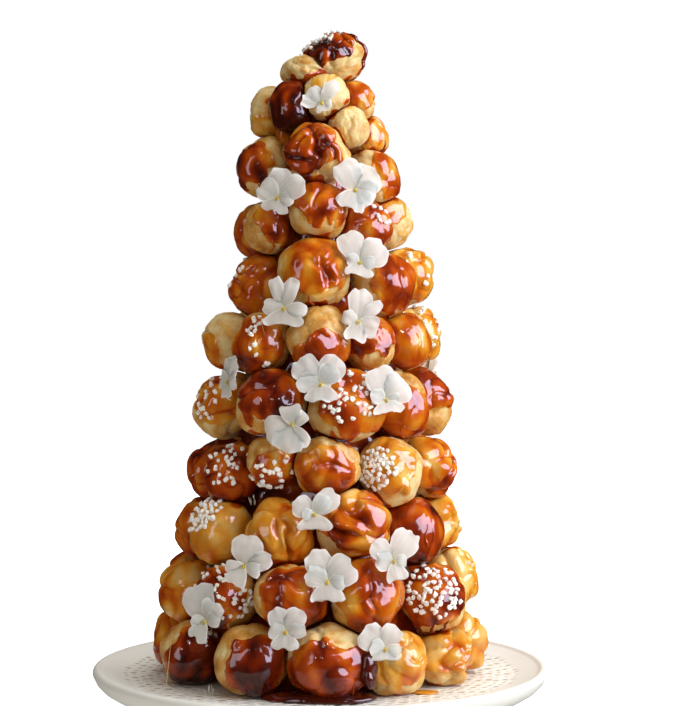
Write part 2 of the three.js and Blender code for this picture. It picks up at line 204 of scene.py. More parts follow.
# Light left by caramel, from a thin film to a deep pool
CARAMEL = [
    (0.0, (0.94, 0.88, 0.62)),
    (0.1, (0.94, 0.78, 0.36)),
    (0.22, (0.865, 0.55, 0.090)),
    (0.42, (0.715, 0.25, 0.010)),
    (0.58, (0.525, 0.101, 0.003)),
    (0.74, (0.287, 0.041, 0.003)),
    (0.88, (0.155, 0.018, 0.004)),
    (1.0, (0.055, 0.009, 0.005)),
]
CARAMEL_IOR = 1.42
SUGAR_WHITE, SUGAR_STAIN = (0.94, 0.92, 0.87), (0.90, 0.74, 0.48)
# Petal colours: painted shade at the heart, the petal's own white further out, and a painted highlight on
# the rim
PETAL_HEART_SHADE, PETAL_OUTER, PETAL_EDGE_HIGHLIGHT = (0.60, 0.600, 0.540), (0.765, 0.785, 0.740), (0.90, 0.90, 0.88)
PETAL_VEIN, PETAL_HEART, EYE_YELLOW = (0.55, 0.56, 0.50), (0.72, 0.72, 0.45), (0.46, 0.31, 0.035)
# The lace colour darkens the dimples: glaze pooled in them, and painted shade
GLAZE_CREAM, GLAZE_WHITE, LACE_POOL_AND_SHADE = (0.80, 0.797, 0.75), (0.86, 0.86, 0.83), (0.42, 0.35, 0.24)


def choux_finish():
    """Choux crust under a coat of caramel.

    "coat" says where the caramel lies, "depth" how thick it is, "bake" how brown the crust is.
    """
    skin = Surface("caramelled_choux")
    patches = skin.noise(9, 3)
    grain = skin.noise(1.6, 3)
    flow = skin.noise(6, 3, 0.6)
    freckles = skin.noise(0.9, 3, 0.6).rise(0.53, 0.66)
    bake = skin.attribute("bake") + (patches - 0.5) * 1.1 + (grain - 0.5) * 0.35 + freckles * 0.14
    crust = skin.ramp(bake, CRUST)
    coat = (skin.attribute("coat") + (grain - 0.5) * 0.25).rise(0.34, 0.62)
    depth = skin.attribute("depth") + (flow - 0.5) * 0.16
    under = skin.mix(coat * 0.5, crust, CANDIED_CRUST)
    glazed = skin.mix(1.0, under, skin.ramp(depth, CARAMEL), "MULTIPLY")
    colour = skin.mix(coat, crust, glazed)
    crinkles = skin.noise(2.2, 5, 0.64) * 0.75 + freckles * 0.25
    bubbles = skin.noise(0.8, 1).rise(0.66, 0.76)
    ripples = skin.noise(6, 2) * 1.5 + skin.noise(2.6, 2) * 0.6 + bubbles * 0.3
    waves = ripples * (1.35 - depth) + skin.noise(1.7, 2) * (1 - depth * 1.6).clamped() * 1.3
    relief = crinkles * (1 - coat) + waves * coat
    return skin.finish(
        Base_Color=colour,
        Roughness=0.46 - 0.2 * coat + (patches - 0.5) * 0.1,
        Specular_IOR_Level=0.06,
        Coat_Weight=0.18 + coat * 0.72,
        Coat_Roughness=0.045,
        Coat_IOR=CARAMEL_IOR,
        Subsurface_Weight=0.12,
        Subsurface_Radius=(1.0, 0.35, 0.1),
        Subsurface_Scale=4 * MM,
        Normal=skin.bump(relief, 0.5, 0.6),
    )


def sugar_finish():
    """Pearl sugar: white and a little see-through, with a few caramel-stained grains."""
    sugar = Surface("pearl_sugar")
    stain = sugar.noise(9, 2).rise(0.55, 0.85)
    return sugar.finish(
        Base_Color=sugar.mix(stain, SUGAR_WHITE, SUGAR_STAIN),
        Roughness=0.35 + 0.3 * sugar.noise(0.8, 2),
        Specular_IOR_Level=0.25,
        Subsurface_Weight=0.25,
        Subsurface_Radius=(1.0, 0.95, 0.85),
        Subsurface_Scale=1.2 * MM,
        Normal=sugar.bump(sugar.noise(0.7, 3), 0.25, 0.5),
    )


def petal_finish():
    """White petal with faint veins, painted shade towards the heart, a painted highlight along its rim, and
    a small yellow eye.
    """
    petal = Surface("petal")
    along = petal.attribute("along")
    across = petal.attribute("across")
    veins = (across * 16).math("SINE") * 0.5 + 0.5
    # Painted shade: grey at the heart, brightening to the petal's white further out
    body = petal.mix(along.rise(0.1, 0.8), PETAL_HEART_SHADE, PETAL_OUTER)
    # Painted highlight: lighter near the rim
    rim_lit = petal.mix(petal.attribute("rim").rise(0.8, 1.0), body, PETAL_EDGE_HIGHLIGHT)
    veined = petal.mix(veins.math("POWER", 3) * (1 - along) * 0.35, rim_lit, PETAL_VEIN)
    heart = (1 - along.rise(0.02, 0.22)) * 0.7
    hearted = petal.mix(heart, veined, PETAL_HEART)
    eye = petal.attribute("eye").rise(0.35, 0.65)
    return petal.finish(
        Base_Color=petal.mix(eye, hearted, EYE_YELLOW),
        Roughness=0.55 + 0.1 * veins,
        Specular_IOR_Level=0.2,
        Subsurface_Weight=0.6,
        Subsurface_Radius=(1.0, 1.0, 0.95),
        Subsurface_Scale=2.5 * MM,
        Normal=petal.bump(veins * (1 - along * 0.5), 0.08, 0.5),
    )


def glaze_finish():
    """Glossy off-white glaze, darker in the pressed lace: glaze pooled there, with painted shade in the
    dimples.
    """
    glaze = Surface("glaze")
    lace = glaze.attribute("lace").rise(0.2, 0.8)
    cloud = glaze.noise(30, 2)
    white = glaze.mix(cloud, GLAZE_CREAM, GLAZE_WHITE)
    return glaze.finish(
        # Darker in the dimples: pooled glaze and painted shade
        Base_Color=glaze.mix(lace * 0.9, white, LACE_POOL_AND_SHADE),
        Roughness=0.3 + 0.1 * cloud,
        Specular_IOR_Level=0.2,
        Coat_Weight=0.15 + 0.1 * cloud,
        Normal=glaze.bump(glaze.noise(4, 2), 0.1, 0.3),
    )


CHOUX = choux_finish()
SUGAR = sugar_finish()
PETAL = petal_finish()
GLAZE = glaze_finish()


# ------------------------------------------------------------------ mesh helpers
def unit(rows):
    return rows / np.linalg.norm(rows, axis=-1, keepdims=True)


def step(value, low, high):
    """0 below low, 1 above high, and a smooth step between."""
    t = np.clip((value - low) / (high - low), 0, 1)
    return t * t * (3 - 2 * t)


def hump(value, width, middle=0):
    """1 at the middle, falling smoothly on both sides, to about a third a width away."""
    return np.exp(-((value - middle) / width) ** 2)


def square_to(direction, hint):
    """Two directions square to one and to each other; the hint isn't along it."""
    side = unit(np.cross(direction, hint))
    return side, np.cross(direction, side)


def around(side, other, turn):
    """Directions at angles from one direction towards another."""
    return side * np.cos(turn)[:, None] + other * np.sin(turn)[:, None]


def solid(name, points, faces, material, attributes=None, smooth=True):
    """A mesh object from points in millimetres and faces that all have as many corners."""
    faces = np.asarray(faces, np.int32)
    mesh = bpy.data.meshes.new(name)
    mesh.vertices.add(len(points))
    mesh.vertices.foreach_set("co", (np.asarray(points, float) * MM).ravel())
    mesh.loops.add(faces.size)
    mesh.loops.foreach_set("vertex_index", faces.ravel())
    mesh.polygons.add(len(faces))
    mesh.polygons.foreach_set("loop_start", np.arange(0, faces.size, faces.shape[1]))
    mesh.update(calc_edges=True)
    mesh.validate()
    if smooth:
        mesh.shade_smooth()
    else:
        mesh.shade_flat()
    for key, values in (attributes or {}).items():
        mesh.attributes.new(key, "FLOAT", "POINT").data.foreach_set("value", np.asarray(values, np.float32))
    mesh.materials.append(material)
    piece = bpy.data.objects.new(name, mesh)
    bpy.context.scene.collection.objects.link(piece)
    return piece


def place(piece, slot, *nodes):
    """The piece rides on the root and stands for CAD nodes, which are hidden. The slot is not used."""
    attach(piece, "root")
    if nodes:
        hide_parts(*nodes)


class Heap:
    """Several small meshes gathered into one piece."""

    def __init__(self):
        self.points, self.faces, self.attributes, self.count = [], [], {}, 0

    def add(self, points, faces, **attributes):
        self.points.append(points)
        self.faces.append(np.asarray(faces) + self.count)
        for key, values in attributes.items():
            self.attributes.setdefault(key, []).append(np.broadcast_to(values, len(points)))
        self.count += len(points)

    def piece(self, name, material, smooth=True):
        attributes = {key: np.concatenate(rows) for key, rows in self.attributes.items()}
        return solid(name, np.concatenate(self.points), np.concatenate(self.faces), material,
                     attributes, smooth)


def taken_apart(mesh):
    """Points and faces of a mesh that isn't needed any more."""
    points = np.array([v.co for v in mesh.verts])
    faces = np.array([[v.index for v in f.verts] for f in mesh.faces])
    mesh.free()
    return points, faces


def cube_ball(cuts):
    """Directions and quads of an even ball: a cube's grid blown up round its middle."""
    mesh = bmesh.new()
    bmesh.ops.create_cube(mesh, size=2)
    bmesh.ops.subdivide_edges(mesh, edges=mesh.edges[:], cuts=cuts, use_grid_fill=True)
    grid, faces = taken_apart(mesh)
    return unit(np.tan(grid * math.pi / 4)), faces


def line(start, end, count):
    """Points evenly along a straight line."""
    share = np.linspace(0, 1, count)[:, None]
    return np.asarray(start) * (1 - share) + np.asarray(end) * share


def full_turn(sides):
    """Angles evenly round a circle."""
    return np.arange(sides) * 2 * math.pi / sides


def lathed(radius, height, sides):
    """Rings of points round the upright axis."""
    turn = full_turn(sides)
    return np.stack([radius * np.cos(turn), radius * np.sin(turn), height + 0 * turn], -1)


def grid_faces(rows, columns, closed=False):
    """Quads between rows of points; closed joins each row's last point to its first."""
    row, column = np.meshgrid(np.arange(rows - 1), np.arange(columns - (not closed)), indexing="ij")
    after = (column + 1) % columns
    return np.stack([row * columns + column, row * columns + after, (row + 1) * columns + after,
                     (row + 1) * columns + column], -1).reshape(-1, 4)


def tube(path, radius, sides=6):
    """Points and quads of a thin run along a path; radius is a number or one for each point."""
    path = np.asarray(path, float)
    side, other = square_to(unit(np.gradient(path, axis=0)), [0.31, 0.2, 0.93])
    thick = radius * np.sqrt(np.clip(np.sin(np.linspace(0, math.pi, len(path))), 0.02, 1))
    rings = path[:, None] + thick[:, None, None] * around(side[:, None], other[:, None], full_turn(sides))
    return rings.reshape(-1, 3), grid_faces(len(path), sides, closed=True)


class Ripples:
    """Smooth random ripples of about one length and height 1, as a sum of plane waves."""

    def __init__(self, rng, length, count=16):
        bearings = unit(rng.normal(size=(count, 3)))
        self.waves = bearings * 2 * math.pi / (length * rng.uniform(0.75, 1.35, (count, 1)))
        self.phases = rng.uniform(0, 2 * math.pi, count)

    def at(self, points):
        return np.cos(points @ self.waves.T + self.phases).sum(-1) * math.sqrt(2 / len(self.phases))


# ------------------------------------------------------------------ layout of the buns
WELL = 18.0  # height of the plate's floor
FIT = 0.3  # mm, gap between a bun and what it leans on
PRESS = 4.5  # mm that two buns are pressed into each other
NUDGE = 0.3  # share of the excess that each of two buns gives way in a round
SMALL_PAIR = 40  # mm, least sum of two buns' half widths that the search for a touch goes by
TOUCH = 1.1  # share of their reach within which two buns get flats
BASE_SHARE = 0.48  # height of a bottom bun's middle, as a share of its own height
SETTLE_ROUNDS = 60
SHOWN_PULL, HIDDEN_PULL = 0.2, 0.3  # share of its way home that a bun is pulled in a round
BUN_DEPTH = 0.94  # share of its width
BUN_LOBES = 9
GOLDEN_TURN = math.pi * (3 - math.sqrt(5))
LOBE_HEIGHT = 1.09  # how far out lobes come at most, as a share of a bun's half size
LOBE_DEPTH, LOBE_REACH = 0.16, 0.26
DOME_TILT = 0.45  # radians that a bun's crown is tipped up

# Rings of buns from the plate up: radius, core, height, lean, buns behind and their size.
# Each front bun is [azimuth, lift, width, height, further out] and its caramel cap:
# [clock angle of its middle, angle from facing the front, half angle, depth], then how
# brown its crust is and how deep its folds are.
TIERS = [
    (93, 84, 41, 0, 5, 45, [
        (-96, -1, 44, 43, 2, 270, 60, 140, 0.38, 0.66, 0.8),
        (-66, -3, 42, 41, 1, 110, 22, 74, 0.88, 0.6, 0.3),
        (-29, 1, 48, 46, 0, 95, 16, 58, 0.86, 0.55, 0.3),
        (3, 2, 52, 48, 0, 190, 26, 72, 0.72, 0.35, 0.4),
        (31, -1, 43, 42, 0, 20, 42, 80, 0.16, 0.42, 1),
        (60, -4, 42, 38, 0, 25, 50, 70, 0.18, 0.4, 1.6),
        (88, -1, 42, 44, 0, 60, 60, 100, 0.16, 0.44, 1.3)]),
    (87, 78, 80, 0, 6, 45, [
        (-80, -5, 44, 42, 2, 300, 50, 100, 0.28, 0.6, 0.6),
        (-45, -2, 44, 41, 0, 285, 35, 66, 0.66, 0.66, 0.5),
        (-12, 2, 47, 42, 0, 100, 22, 80, 0.66, 0.45, 0.5),
        (19, 3, 49, 48, 0, 60, 30, 76, 0.5, 0.4, 0.5),
        (57, -5, 44, 44, 2, 0, 40, 80, 0.6, 0.45, 0.6),
        (86, 4, 40, 40, 2, 60, 60, 110, 0.07, 0.0, 1.4)]),
    (75, 66, 121, 0, 4, 45, [
        (-92, -4, 42, 44, 2, 270, 40, 110, 0.36, 0.6, 0.8),
        (-57, -1, 43, 44, 2, 330, 45, 90, 0.18, 0.6, 0.35),
        (-20, 0, 44, 44, 0, 10, 15, 95, 0.24, 0.58, 0.9),
        (17, 5, 49, 46, 0, 20, 35, 76, 0.37, 0.42, 1.2),
        (53, -1, 42, 44, 0, 60, 20, 95, 0.72, 0.55, 0.2),
        (87, 0, 40, 40, 0, 60, 50, 100, 0.18, 0.25, 1.1)]),
    (69, 60, 161, 0, 4, 44, [
        (-92, -5, 42, 44, 0, 270, 40, 110, 0.55, 0.55, 0.9),
        (-57, -4, 38, 42, 0, 0, 20, 95, 0.56, 0.6, 0.85),
        (-27, 8, 34, 36, 0, 180, 32, 56, 0.52, 0.5, 0.4),
        (3, 4, 43, 38, 0, 185, 22, 68, 0.48, 0.42, 0.55),
        (41, -1, 43, 46, 1, 0, 25, 53, 0.22, 0.3, 0.5),
        (82, -2, 42, 42, 3, 45, 40, 74, 0.34, 0.4, 1.1)]),
    (65, 56, 203, 0, 4, 44, [
        (-77, -3, 42, 43, 1, 340, 45, 70, 0.34, 0.38, 1.0),
        (-30, 1, 47, 46, 0, 0, 44, 66, 0.68, 0.38, 0.4),
        (15, 0, 49, 49, 0, 35, 42, 76, 0.49, 0.38, 0.5),
        (54, 0, 39, 46, 0, 150, 35, 76, 0.5, 0.5, 0.4),
        (88, 0, 41, 47, 4, 20, 50, 60, 0.68, 0.55, 0.6)]),
    (59, 51, 246, 0, 3, 43, [
        (-80, -1, 40, 38, 2, 240, 58, 36, 0.45, 0.3, 0.3),
        (-40, -2, 37, 41, 0, 300, 28, 64, 0.56, 0.55, 0.5),
        (-1, 2, 41, 45, 0, 165, 44, 58, 0.64, 0.52, 0.5),
        (34, -2, 34, 38, -2, 0, 60, 80, 0.5, 0.5, 0.4),
        (66, -1, 37, 38, 2, 60, 22, 76, 0.42, 0.5, 0.2),
        (98, 2, 38, 40, 5, 60, 40, 120, 0.2, 0.25, 1.3)]),
    (48, 40, 286, 6, 3, 40, [
        (-75, -4, 40, 44, 0, 300, 30, 110, 0.4, 0.36, 0.9),
        (-12, 4, 47, 49, 0, 5, 34, 62, 0.48, 0.3, 0.35),
        (48, -3, 42, 42, 0, 74, 44, 62, 0.58, 0.34, 0.3),
        (97, 2, 40, 41, 4, 60, 50, 80, 0.2, 0.25, 1.1)]),
    (41, 33, 325, 1, 2, 38, [
        (-105, -5, 36, 38, 3, 270, 30, 110, 0.46, 0.56, 0.4),
        (-59, -4, 36, 36, 0, 50, 34, 56, 0.56, 0.5, 0.5),
        (-3, 6, 39, 37, 0, 10, 45, 66, 0.54, 0.42, 0.3),
        (45, -4, 35, 34, 0, 45, 30, 80, 0.52, 0.5, 0.3),
        (93, 2, 37, 38, 2, 340, 42, 56, 0.3, 0.36, 0.3)]),
    (33, 25, 363, -2, 2, 36, [
        (-80, -1, 38, 41, 3, 285, 40, 50, 0.74, 0.48, 0.5),
        (2, 6, 46, 42, -2, 310, 34, 62, 0.56, 0.32, 1.3),
        (84, -6, 37, 40, 4, 70, 60, 54, 0.5, 0.28, 0.4)]),
    (25, 18, 400, -3, 2, 34, [
        (-92, 0, 32, 36, 4, 200, 60, 50, 0.2, 0.3, 0.5),
        (-42, 3, 28, 35, -2, 0, 10, 110, 0.9, 0.6, 0.1),
        (12, 8, 32, 30, -4, 0, 60, 30, 0.14, 0.12, 0.4),
        (80, 5, 28, 29, 2, 20, 42, 60, 0.42, 0.3, 0.3),
        (42, -13, 28, 28, 6, 0, 80, 20, 0.1, 0.16, 0.3),
        (92, -20, 30, 32, 9, 60, 50, 60, 0.24, 0.38, 0.5)]),
    (10, 9, 432, 0, 0, 0, [
        (90, 2, 46, 34, -1, 338, 64, 64, 0.8, 0.16, 0.8),
        (-50, -9, 36, 25, 1, 0, 90, 12, 0.12, 0.26, 0.3)]),
]
RADII, CORES, HEIGHTS, LEANS, COUNTS_BEHIND, SIZES_BEHIND, FRONTS = zip(*TIERS)
CROWN = len(TIERS) - 1


def chance(n):
    """A repeatable number from 0 to 1 for a whole number."""
    wave = math.sin(n * 12.9898 + 4.1414) * 43758.5453
    return wave - math.floor(wave)


def between(n, low, high):
    return low + (high - low) * chance(n)


def outward(azimuth, tilt=0.0):
    """Direction out of the tower at an azimuth in degrees from the front, tipped up."""
    turn = math.radians(azimuth)
    return np.array([math.sin(turn) * math.cos(tilt), -math.cos(turn) * math.cos(tilt), math.sin(tilt)])


def axes_of(facing):
    """Rows of axes as seen from outside: to the right, upwards and out along a direction."""
    side = unit(np.cross(UP, facing))
    return np.array([side, np.cross(facing, side), facing])


def spun(facing, clock, away):
    """Direction at an angle away from a facing one, towards a clock angle seen from outside."""
    side, top, _ = axes_of(facing)
    turn, lean = math.radians(clock), math.radians(away)
    return facing * math.cos(lean) + (side * math.sin(turn) + top * math.cos(turn)) * math.sin(lean)


class Bun:
    """One choux bun: its place in its ring, its size, and the caramel cap that it was given."""

    def __init__(self, level, row, shown):
        azimuth, lift, width, tall, out, clock, away, spread, depth, bake, folds = row
        self.level, self.shown, self.out = level, shown, out
        self.half = np.array([width / 2, tall / 2, width * BUN_DEPTH / 2])
        self.home = outward(azimuth) * (RADII[level] + out) + (LEANS[level], 0, HEIGHTS[level] + lift)
        self.centre = self.home.copy()
        facing = outward(0) if shown else outward(azimuth)
        self.cap = spun(facing, clock, away)
        self.spread, self.depth, self.bake, self.folds = math.radians(spread), depth, bake, folds
        self.flats = []

    def turn(self):
        """How far round its ring the bun stands, in radians from the front."""
        return math.atan2(self.centre[0] - LEANS[self.level], -self.centre[1])

    def reach(self, toward):
        """Distance from the centre to the outside, before the bun is turned."""
        flat = math.hypot(toward[0], toward[1]) / self.half[0]
        return 1 / math.hypot(flat, toward[2] / self.half[1])


# What varies in a bun behind, in the order of a front bun's row: [seed, lowest, highest]
BEHIND_LIMITS = [(0, -3, 3), (300, -4, 4), (600, -2, 2), (900, -3, 1), (1200, -1, 2), (1800, -120, 120),
                 (2100, 15, 60), (2400, 55, 100), (2700, 0, 5), (3000, 0.3, 0.6), (3300, 0.2, 1.1)]
BEHIND_DEPTHS = (0.2, 0.35, 0.45, 0.55, 0.78)


def buns_of_tier(level):
    """The shown buns of a ring, then evenly spaced ones that close it."""
    front = FRONTS[level]
    buns = [Bun(level, row, True) for row in front]
    first = front[-1][0]
    open_angle = 360 + front[0][0] - first
    for i in range(1, COUNTS_BEHIND[level] + 1):
        row = [between(level * 20 + i + seed, low, high) for seed, low, high in BEHIND_LIMITS]
        row[0] += first + open_angle * i / (COUNTS_BEHIND[level] + 1)
        row[2] += SIZES_BEHIND[level]
        row[3] += SIZES_BEHIND[level]
        row[8] = BEHIND_DEPTHS[int(row[8])]
        buns.append(Bun(level, row, False))
    return buns


def are_one(one, other):
    """The two buns of the crown are baked as one, so they don't part."""
    return one.level == other.level == CROWN


def apart(one, other):
    """Direction and distance from one bun's centre to another's."""
    gap = other.centre - one.centre
    distance = math.sqrt(gap @ gap)
    return gap / distance, distance


def settle(buns):
    """Settles the buns until each leans on its neighbours."""
    pairs = [(one, other) for i, one in enumerate(buns) for other in buns[i + 1:]
             if other.level - one.level < 2 and not are_one(one, other)]
    for _ in range(SETTLE_ROUNDS):
        for one, other in pairs:
            toward, distance = apart(one, other)
            if distance > 2 * LOBE_HEIGHT * max(one.half[0] + other.half[0], SMALL_PAIR):
                continue
            excess = one.reach(toward) + other.reach(toward) - PRESS - distance
            if excess > 0:
                one.centre -= toward * excess * NUDGE
                other.centre += toward * excess * NUDGE
        for bun in buns:
            pull_home(bun)


def pull_home(bun):
    """Pulls a bun back: a shown one to its place, one behind to its ring and height."""
    lean = LEANS[bun.level]
    if bun.shown:
        bun.centre += (bun.home - bun.centre) * SHOWN_PULL
    else:
        away = math.hypot(bun.centre[0] - lean, bun.centre[1])
        pull = 1 + HIDDEN_PULL * ((RADII[bun.level] + bun.out) / away - 1)
        bun.centre[0] = lean + (bun.centre[0] - lean) * pull
        bun.centre[1] *= pull
        bun.centre[2] += (bun.home[2] - bun.centre[2]) * HIDDEN_PULL
    if bun.level == 0:
        bun.centre[2] = WELL + FIT + bun.half[1] * 2 * BASE_SHARE


DOME_SWING = 14  # degrees that a bun's crown is swung aside, at most
LOBE_SCATTER, LOBE_SHRINK = 0.35, 0.28  # most that a lobe is moved round a bun and drawn in
WARP_LENGTH = 1.1
CLEFT_OFFSET, CLEFT_REACHES, CLEFT_DEPTHS = 0.25, (0.5, 0.9), (0.07, 0.13)
# Tongues of caramel below the edge of a bun's cap: how many, how far aside, widths and lengths
DRIPS, DRIP_SWING, DRIP_WIDTHS, DRIP_LENGTHS = 3, 1.2, (2.4, 5.5), (2, 8)
# Ripples on a bun of radius 1: of its shape, of its skin, and of its caramel
BUN_RIPPLES = [("lumps", 0.9), ("wrinkles", 0.42), ("grain", 0.17), ("shore", 0.8), ("rivulets", 0.28),
               ("flow", 0.95), ("film", 0.7), ("streaks", 0.45)]


def orient(bun, index):
    """Gives a bun its own axes, its lobes and the ripples of its skin."""
    seed = index * 31
    azimuth = math.degrees(bun.turn()) + between(seed + 1, -DOME_SWING, DOME_SWING)
    bun.axes = axes_of(outward(azimuth, DOME_TILT))
    twist = chance(seed + 2) * math.pi * 2
    lobes = []
    for i in range(BUN_LOBES):
        lift = 1 - 2 * (i + 0.5) / BUN_LOBES
        turn = twist + i * GOLDEN_TURN + between(seed + 3 + i, -LOBE_SCATTER, LOBE_SCATTER)
        flat = math.sqrt(1 - lift * lift)
        lobes.append((flat * math.cos(turn), flat * math.sin(turn), lift))
    bun.lobes = np.array(lobes)
    rng = np.random.default_rng(index)
    bun.shrink = rng.uniform(0, LOBE_SHRINK, BUN_LOBES)
    bun.warps = [Ripples(rng, WARP_LENGTH) for _ in range(3)]
    for name, length in BUN_RIPPLES:
        setattr(bun, name, Ripples(rng, length))
    bun.clefts = []
    for _ in range(int(0.4 + 3 * bun.folds)):
        turn = rng.uniform(0, 2 * math.pi)
        normal = unit(np.array([math.cos(turn), math.sin(turn), rng.uniform(-0.3, 0.3)]))
        middle = unit(np.array([*rng.uniform(-0.7, 0.7, 2), 1.0]))
        offset = rng.uniform(-CLEFT_OFFSET, CLEFT_OFFSET)
        reach = rng.uniform(*CLEFT_REACHES)
        depth = rng.uniform(*CLEFT_DEPTHS) * (0.6 + 0.5 * bun.folds)
        bun.clefts.append((normal, offset, middle, reach, depth, 0.0))
    cap_turn = math.atan2(bun.cap[0], -bun.cap[1])
    bun.drips = []
    for _ in range(DRIPS):
        heading = cap_turn + rng.uniform(-DRIP_SWING, DRIP_SWING) * bun.spread
        bun.drips.append((heading, rng.uniform(*DRIP_WIDTHS), rng.uniform(*DRIP_LENGTHS)))


# Deep folds in the front of single buns, in place of random ones, as [across and up from its
# middle in shares of its half size, clockwise turn from straight across, reach, bend, depth]
FOLDS = {
    15: [(0.27, -0.15, 82, 0.75, 0.2, 0.21), (-0.12, 0.3, 84, 0.28, 0, 0.09),
         (-0.5, -0.3, 70, 0.4, 0.2, 0.07)],
    16: [(-0.46, -0.08, 24, 0.6, -0.5, 0.26), (0.14, 0.44, 42, 0.5, 0.4, 0.17),
         (0.1, -0.62, 0, 0.7, -0.5, 0.08)],
    37: [(0.4, 0, 80, 0.42, 0.4, 0.17), (0.42, 0.45, -35, 0.34, 0, 0.13), (-0.1, 0.25, 10, 0.4, 0, 0.06)],
    46: [(0.04, 0.3, 82, 0.6, 0.4, 0.24), (-0.62, -0.05, 12, 0.45, 0.3, 0.17), (0.42, 0, 66, 0.5, 0.3, 0.13),
         (-0.2, -0.5, -24, 0.4, 0, 0.1), (-0.35, 0.5, -50, 0.4, 0.2, 0.12)],
    54: [(-0.12, 0.05, 62, 0.5, 0.2, 0.1), (0.35, 0.1, 74, 0.5, 0, 0.06)],
    55: [(0.1, 0.1, -16, 0.6, 0.6, 0.12)],
}


def fold_front(bun, folds):
    """Gives a bun deep folds at places on its front."""
    bun.clefts = []
    for x, y, turn, reach, bend, depth in folds:
        front = np.array([x, -math.sqrt(1 - x * x - y * y), y])
        turn = math.radians(turn)
        ahead = front + 0.3 * np.array([math.cos(turn), 0, -math.sin(turn)])
        middle, further = (unit((bun.axes @ ray) / bun.half) for ray in (front, ahead))
        bun.clefts.append((unit(np.cross(middle, further)), 0.0, middle, reach, depth, bend))


def find_flats(bun, buns):
    """Flats where a bun leans on a neighbour or stands on the plate."""
    for other in buns:
        if other is bun or abs(other.level - bun.level) > 1 or are_one(bun, other):
            continue
        toward, distance = apart(bun, other)
        own, theirs = bun.reach(toward), other.reach(toward)
        if (own + theirs) * LOBE_HEIGHT * TOUCH < distance:
            continue
        bun.flats.append((toward, distance * own / (own + theirs) - FIT / 2))
    if bun.level == 0:
        bun.flats.append((-UP, bun.centre[2] - WELL - FIT))


RINGS = [buns_of_tier(level) for level in range(len(TIERS))]
BUNS = [bun for ring in RINGS for bun in ring]
settle(BUNS)
for number, each in enumerate(BUNS):
    orient(each, number)
SHOWN = [bun for bun in BUNS if bun.shown]
for number, folds in FOLDS.items():
    fold_front(SHOWN[number], folds)
for each in BUNS:
    find_flats(each, BUNS)


# ------------------------------------------------------------------ choux buns
ROUNDING = 0.9  # mm over which a bun's flat rolls into its side
GLUE_REACH = 2.6  # mm from a contact that caramel creeps up a bun
LIGHT_TOUCH = 0.99  # share of a bun's reach beyond which a flat is too light a touch for caramel
CAP_RADIUS = 22.0  # mm, a bun's usual radius
FLAT_AHEAD = 0.02  # least cosine of the angle between a direction and a flat that it can meet
FAR = 1e3  # mm, beyond everything
WARP = 0.16  # share of its size that a bun's lobes are bent out of place
LOBE_BLEND = 14  # sharpness of the blend from lobe to lobe
CREASE_WIDTH = 0.16
# A cleft's half width, and the half width and place of the lips beside it, on a bun of radius 1
CLEFT_WIDTH, LIP_WIDTH, LIP_AT = 0.075, 0.16, 0.22
FILM_DEPTH, GLUE_DEPTH = 0.10, 0.62  # caramel outside a cap, and where buns stick together


def caramel_shore(bun, ray):
    """How far inside the caramel's edge each direction is, in millimetres, drips included."""
    angle = np.arccos(np.clip(ray @ bun.cap, -1, 1))
    wobble = 0.075 * bun.shore.at(ray) + 0.022 * bun.rivulets.at(ray)
    inside = (bun.spread - angle + wobble) * CAP_RADIUS
    below = step(bun.cap[2] - ray[:, 2], 0.05, 0.5)
    turn = np.arctan2(ray[:, 0], -ray[:, 1])
    level = np.sqrt(np.clip(1 - ray[:, 2] ** 2, 0, 1))
    run = np.zeros(len(ray))
    for heading, width, length in bun.drips:
        aside = ((turn - heading + math.pi) % (2 * math.pi) - math.pi) * level * CAP_RADIUS
        run = np.maximum(run, length * np.sqrt(np.clip(1 - (aside / width) ** 2, 0, 1)))
    return inside + run * below


def swell_of(bun, own, coat):
    """How far out each direction comes, as a share of a plain oval, and how deep in a crease it is."""
    bent = unit(own + WARP * np.stack([warp.at(own) for warp in bun.warps], 1))
    fall = -np.minimum(1, (1 - bent @ bun.lobes.T) / LOBE_REACH) - bun.shrink
    ranked = np.sort(fall, axis=1)
    crease = hump(ranked[:, -1] - ranked[:, -2], CREASE_WIDTH)
    lobe = np.log(np.exp(fall * LOBE_BLEND).sum(1)) / LOBE_BLEND
    depth_of_folds = LOBE_DEPTH * (0.25 + 0.8 * bun.folds)
    swell = 1.035 + depth_of_folds * (lobe + 0.45) - 0.03 * bun.folds * crease
    swell += 0.02 * bun.lumps.at(own)
    swell -= 0.016 * bun.folds * hump(bun.wrinkles.at(own), 0.25) * (1 - 0.8 * coat)
    for normal, offset, middle, extent, depth, bend in bun.clefts:
        across = own @ normal - offset + 0.06 * bun.lumps.at(own * 1.6)
        across += bend * (own @ np.cross(normal, middle)) ** 2
        along = np.exp(-(np.arccos(np.clip(own @ middle, -1, 1)) / extent) ** 4)
        cut = hump(across, CLEFT_WIDTH)
        lips = 0.45 * hump(across, LIP_WIDTH, LIP_AT) - cut + 0.2 * hump(across, LIP_WIDTH, -LIP_AT)
        swell += along * depth * lips
        crease = np.maximum(crease, cut * along)
    return swell, crease


def to_flat(ray, toward, away):
    """Distance along each direction to a flat; far off where the flat isn't ahead."""
    facing = ray @ toward
    return np.where(facing > FLAT_AHEAD, away / np.maximum(facing, FLAT_AHEAD), FAR)


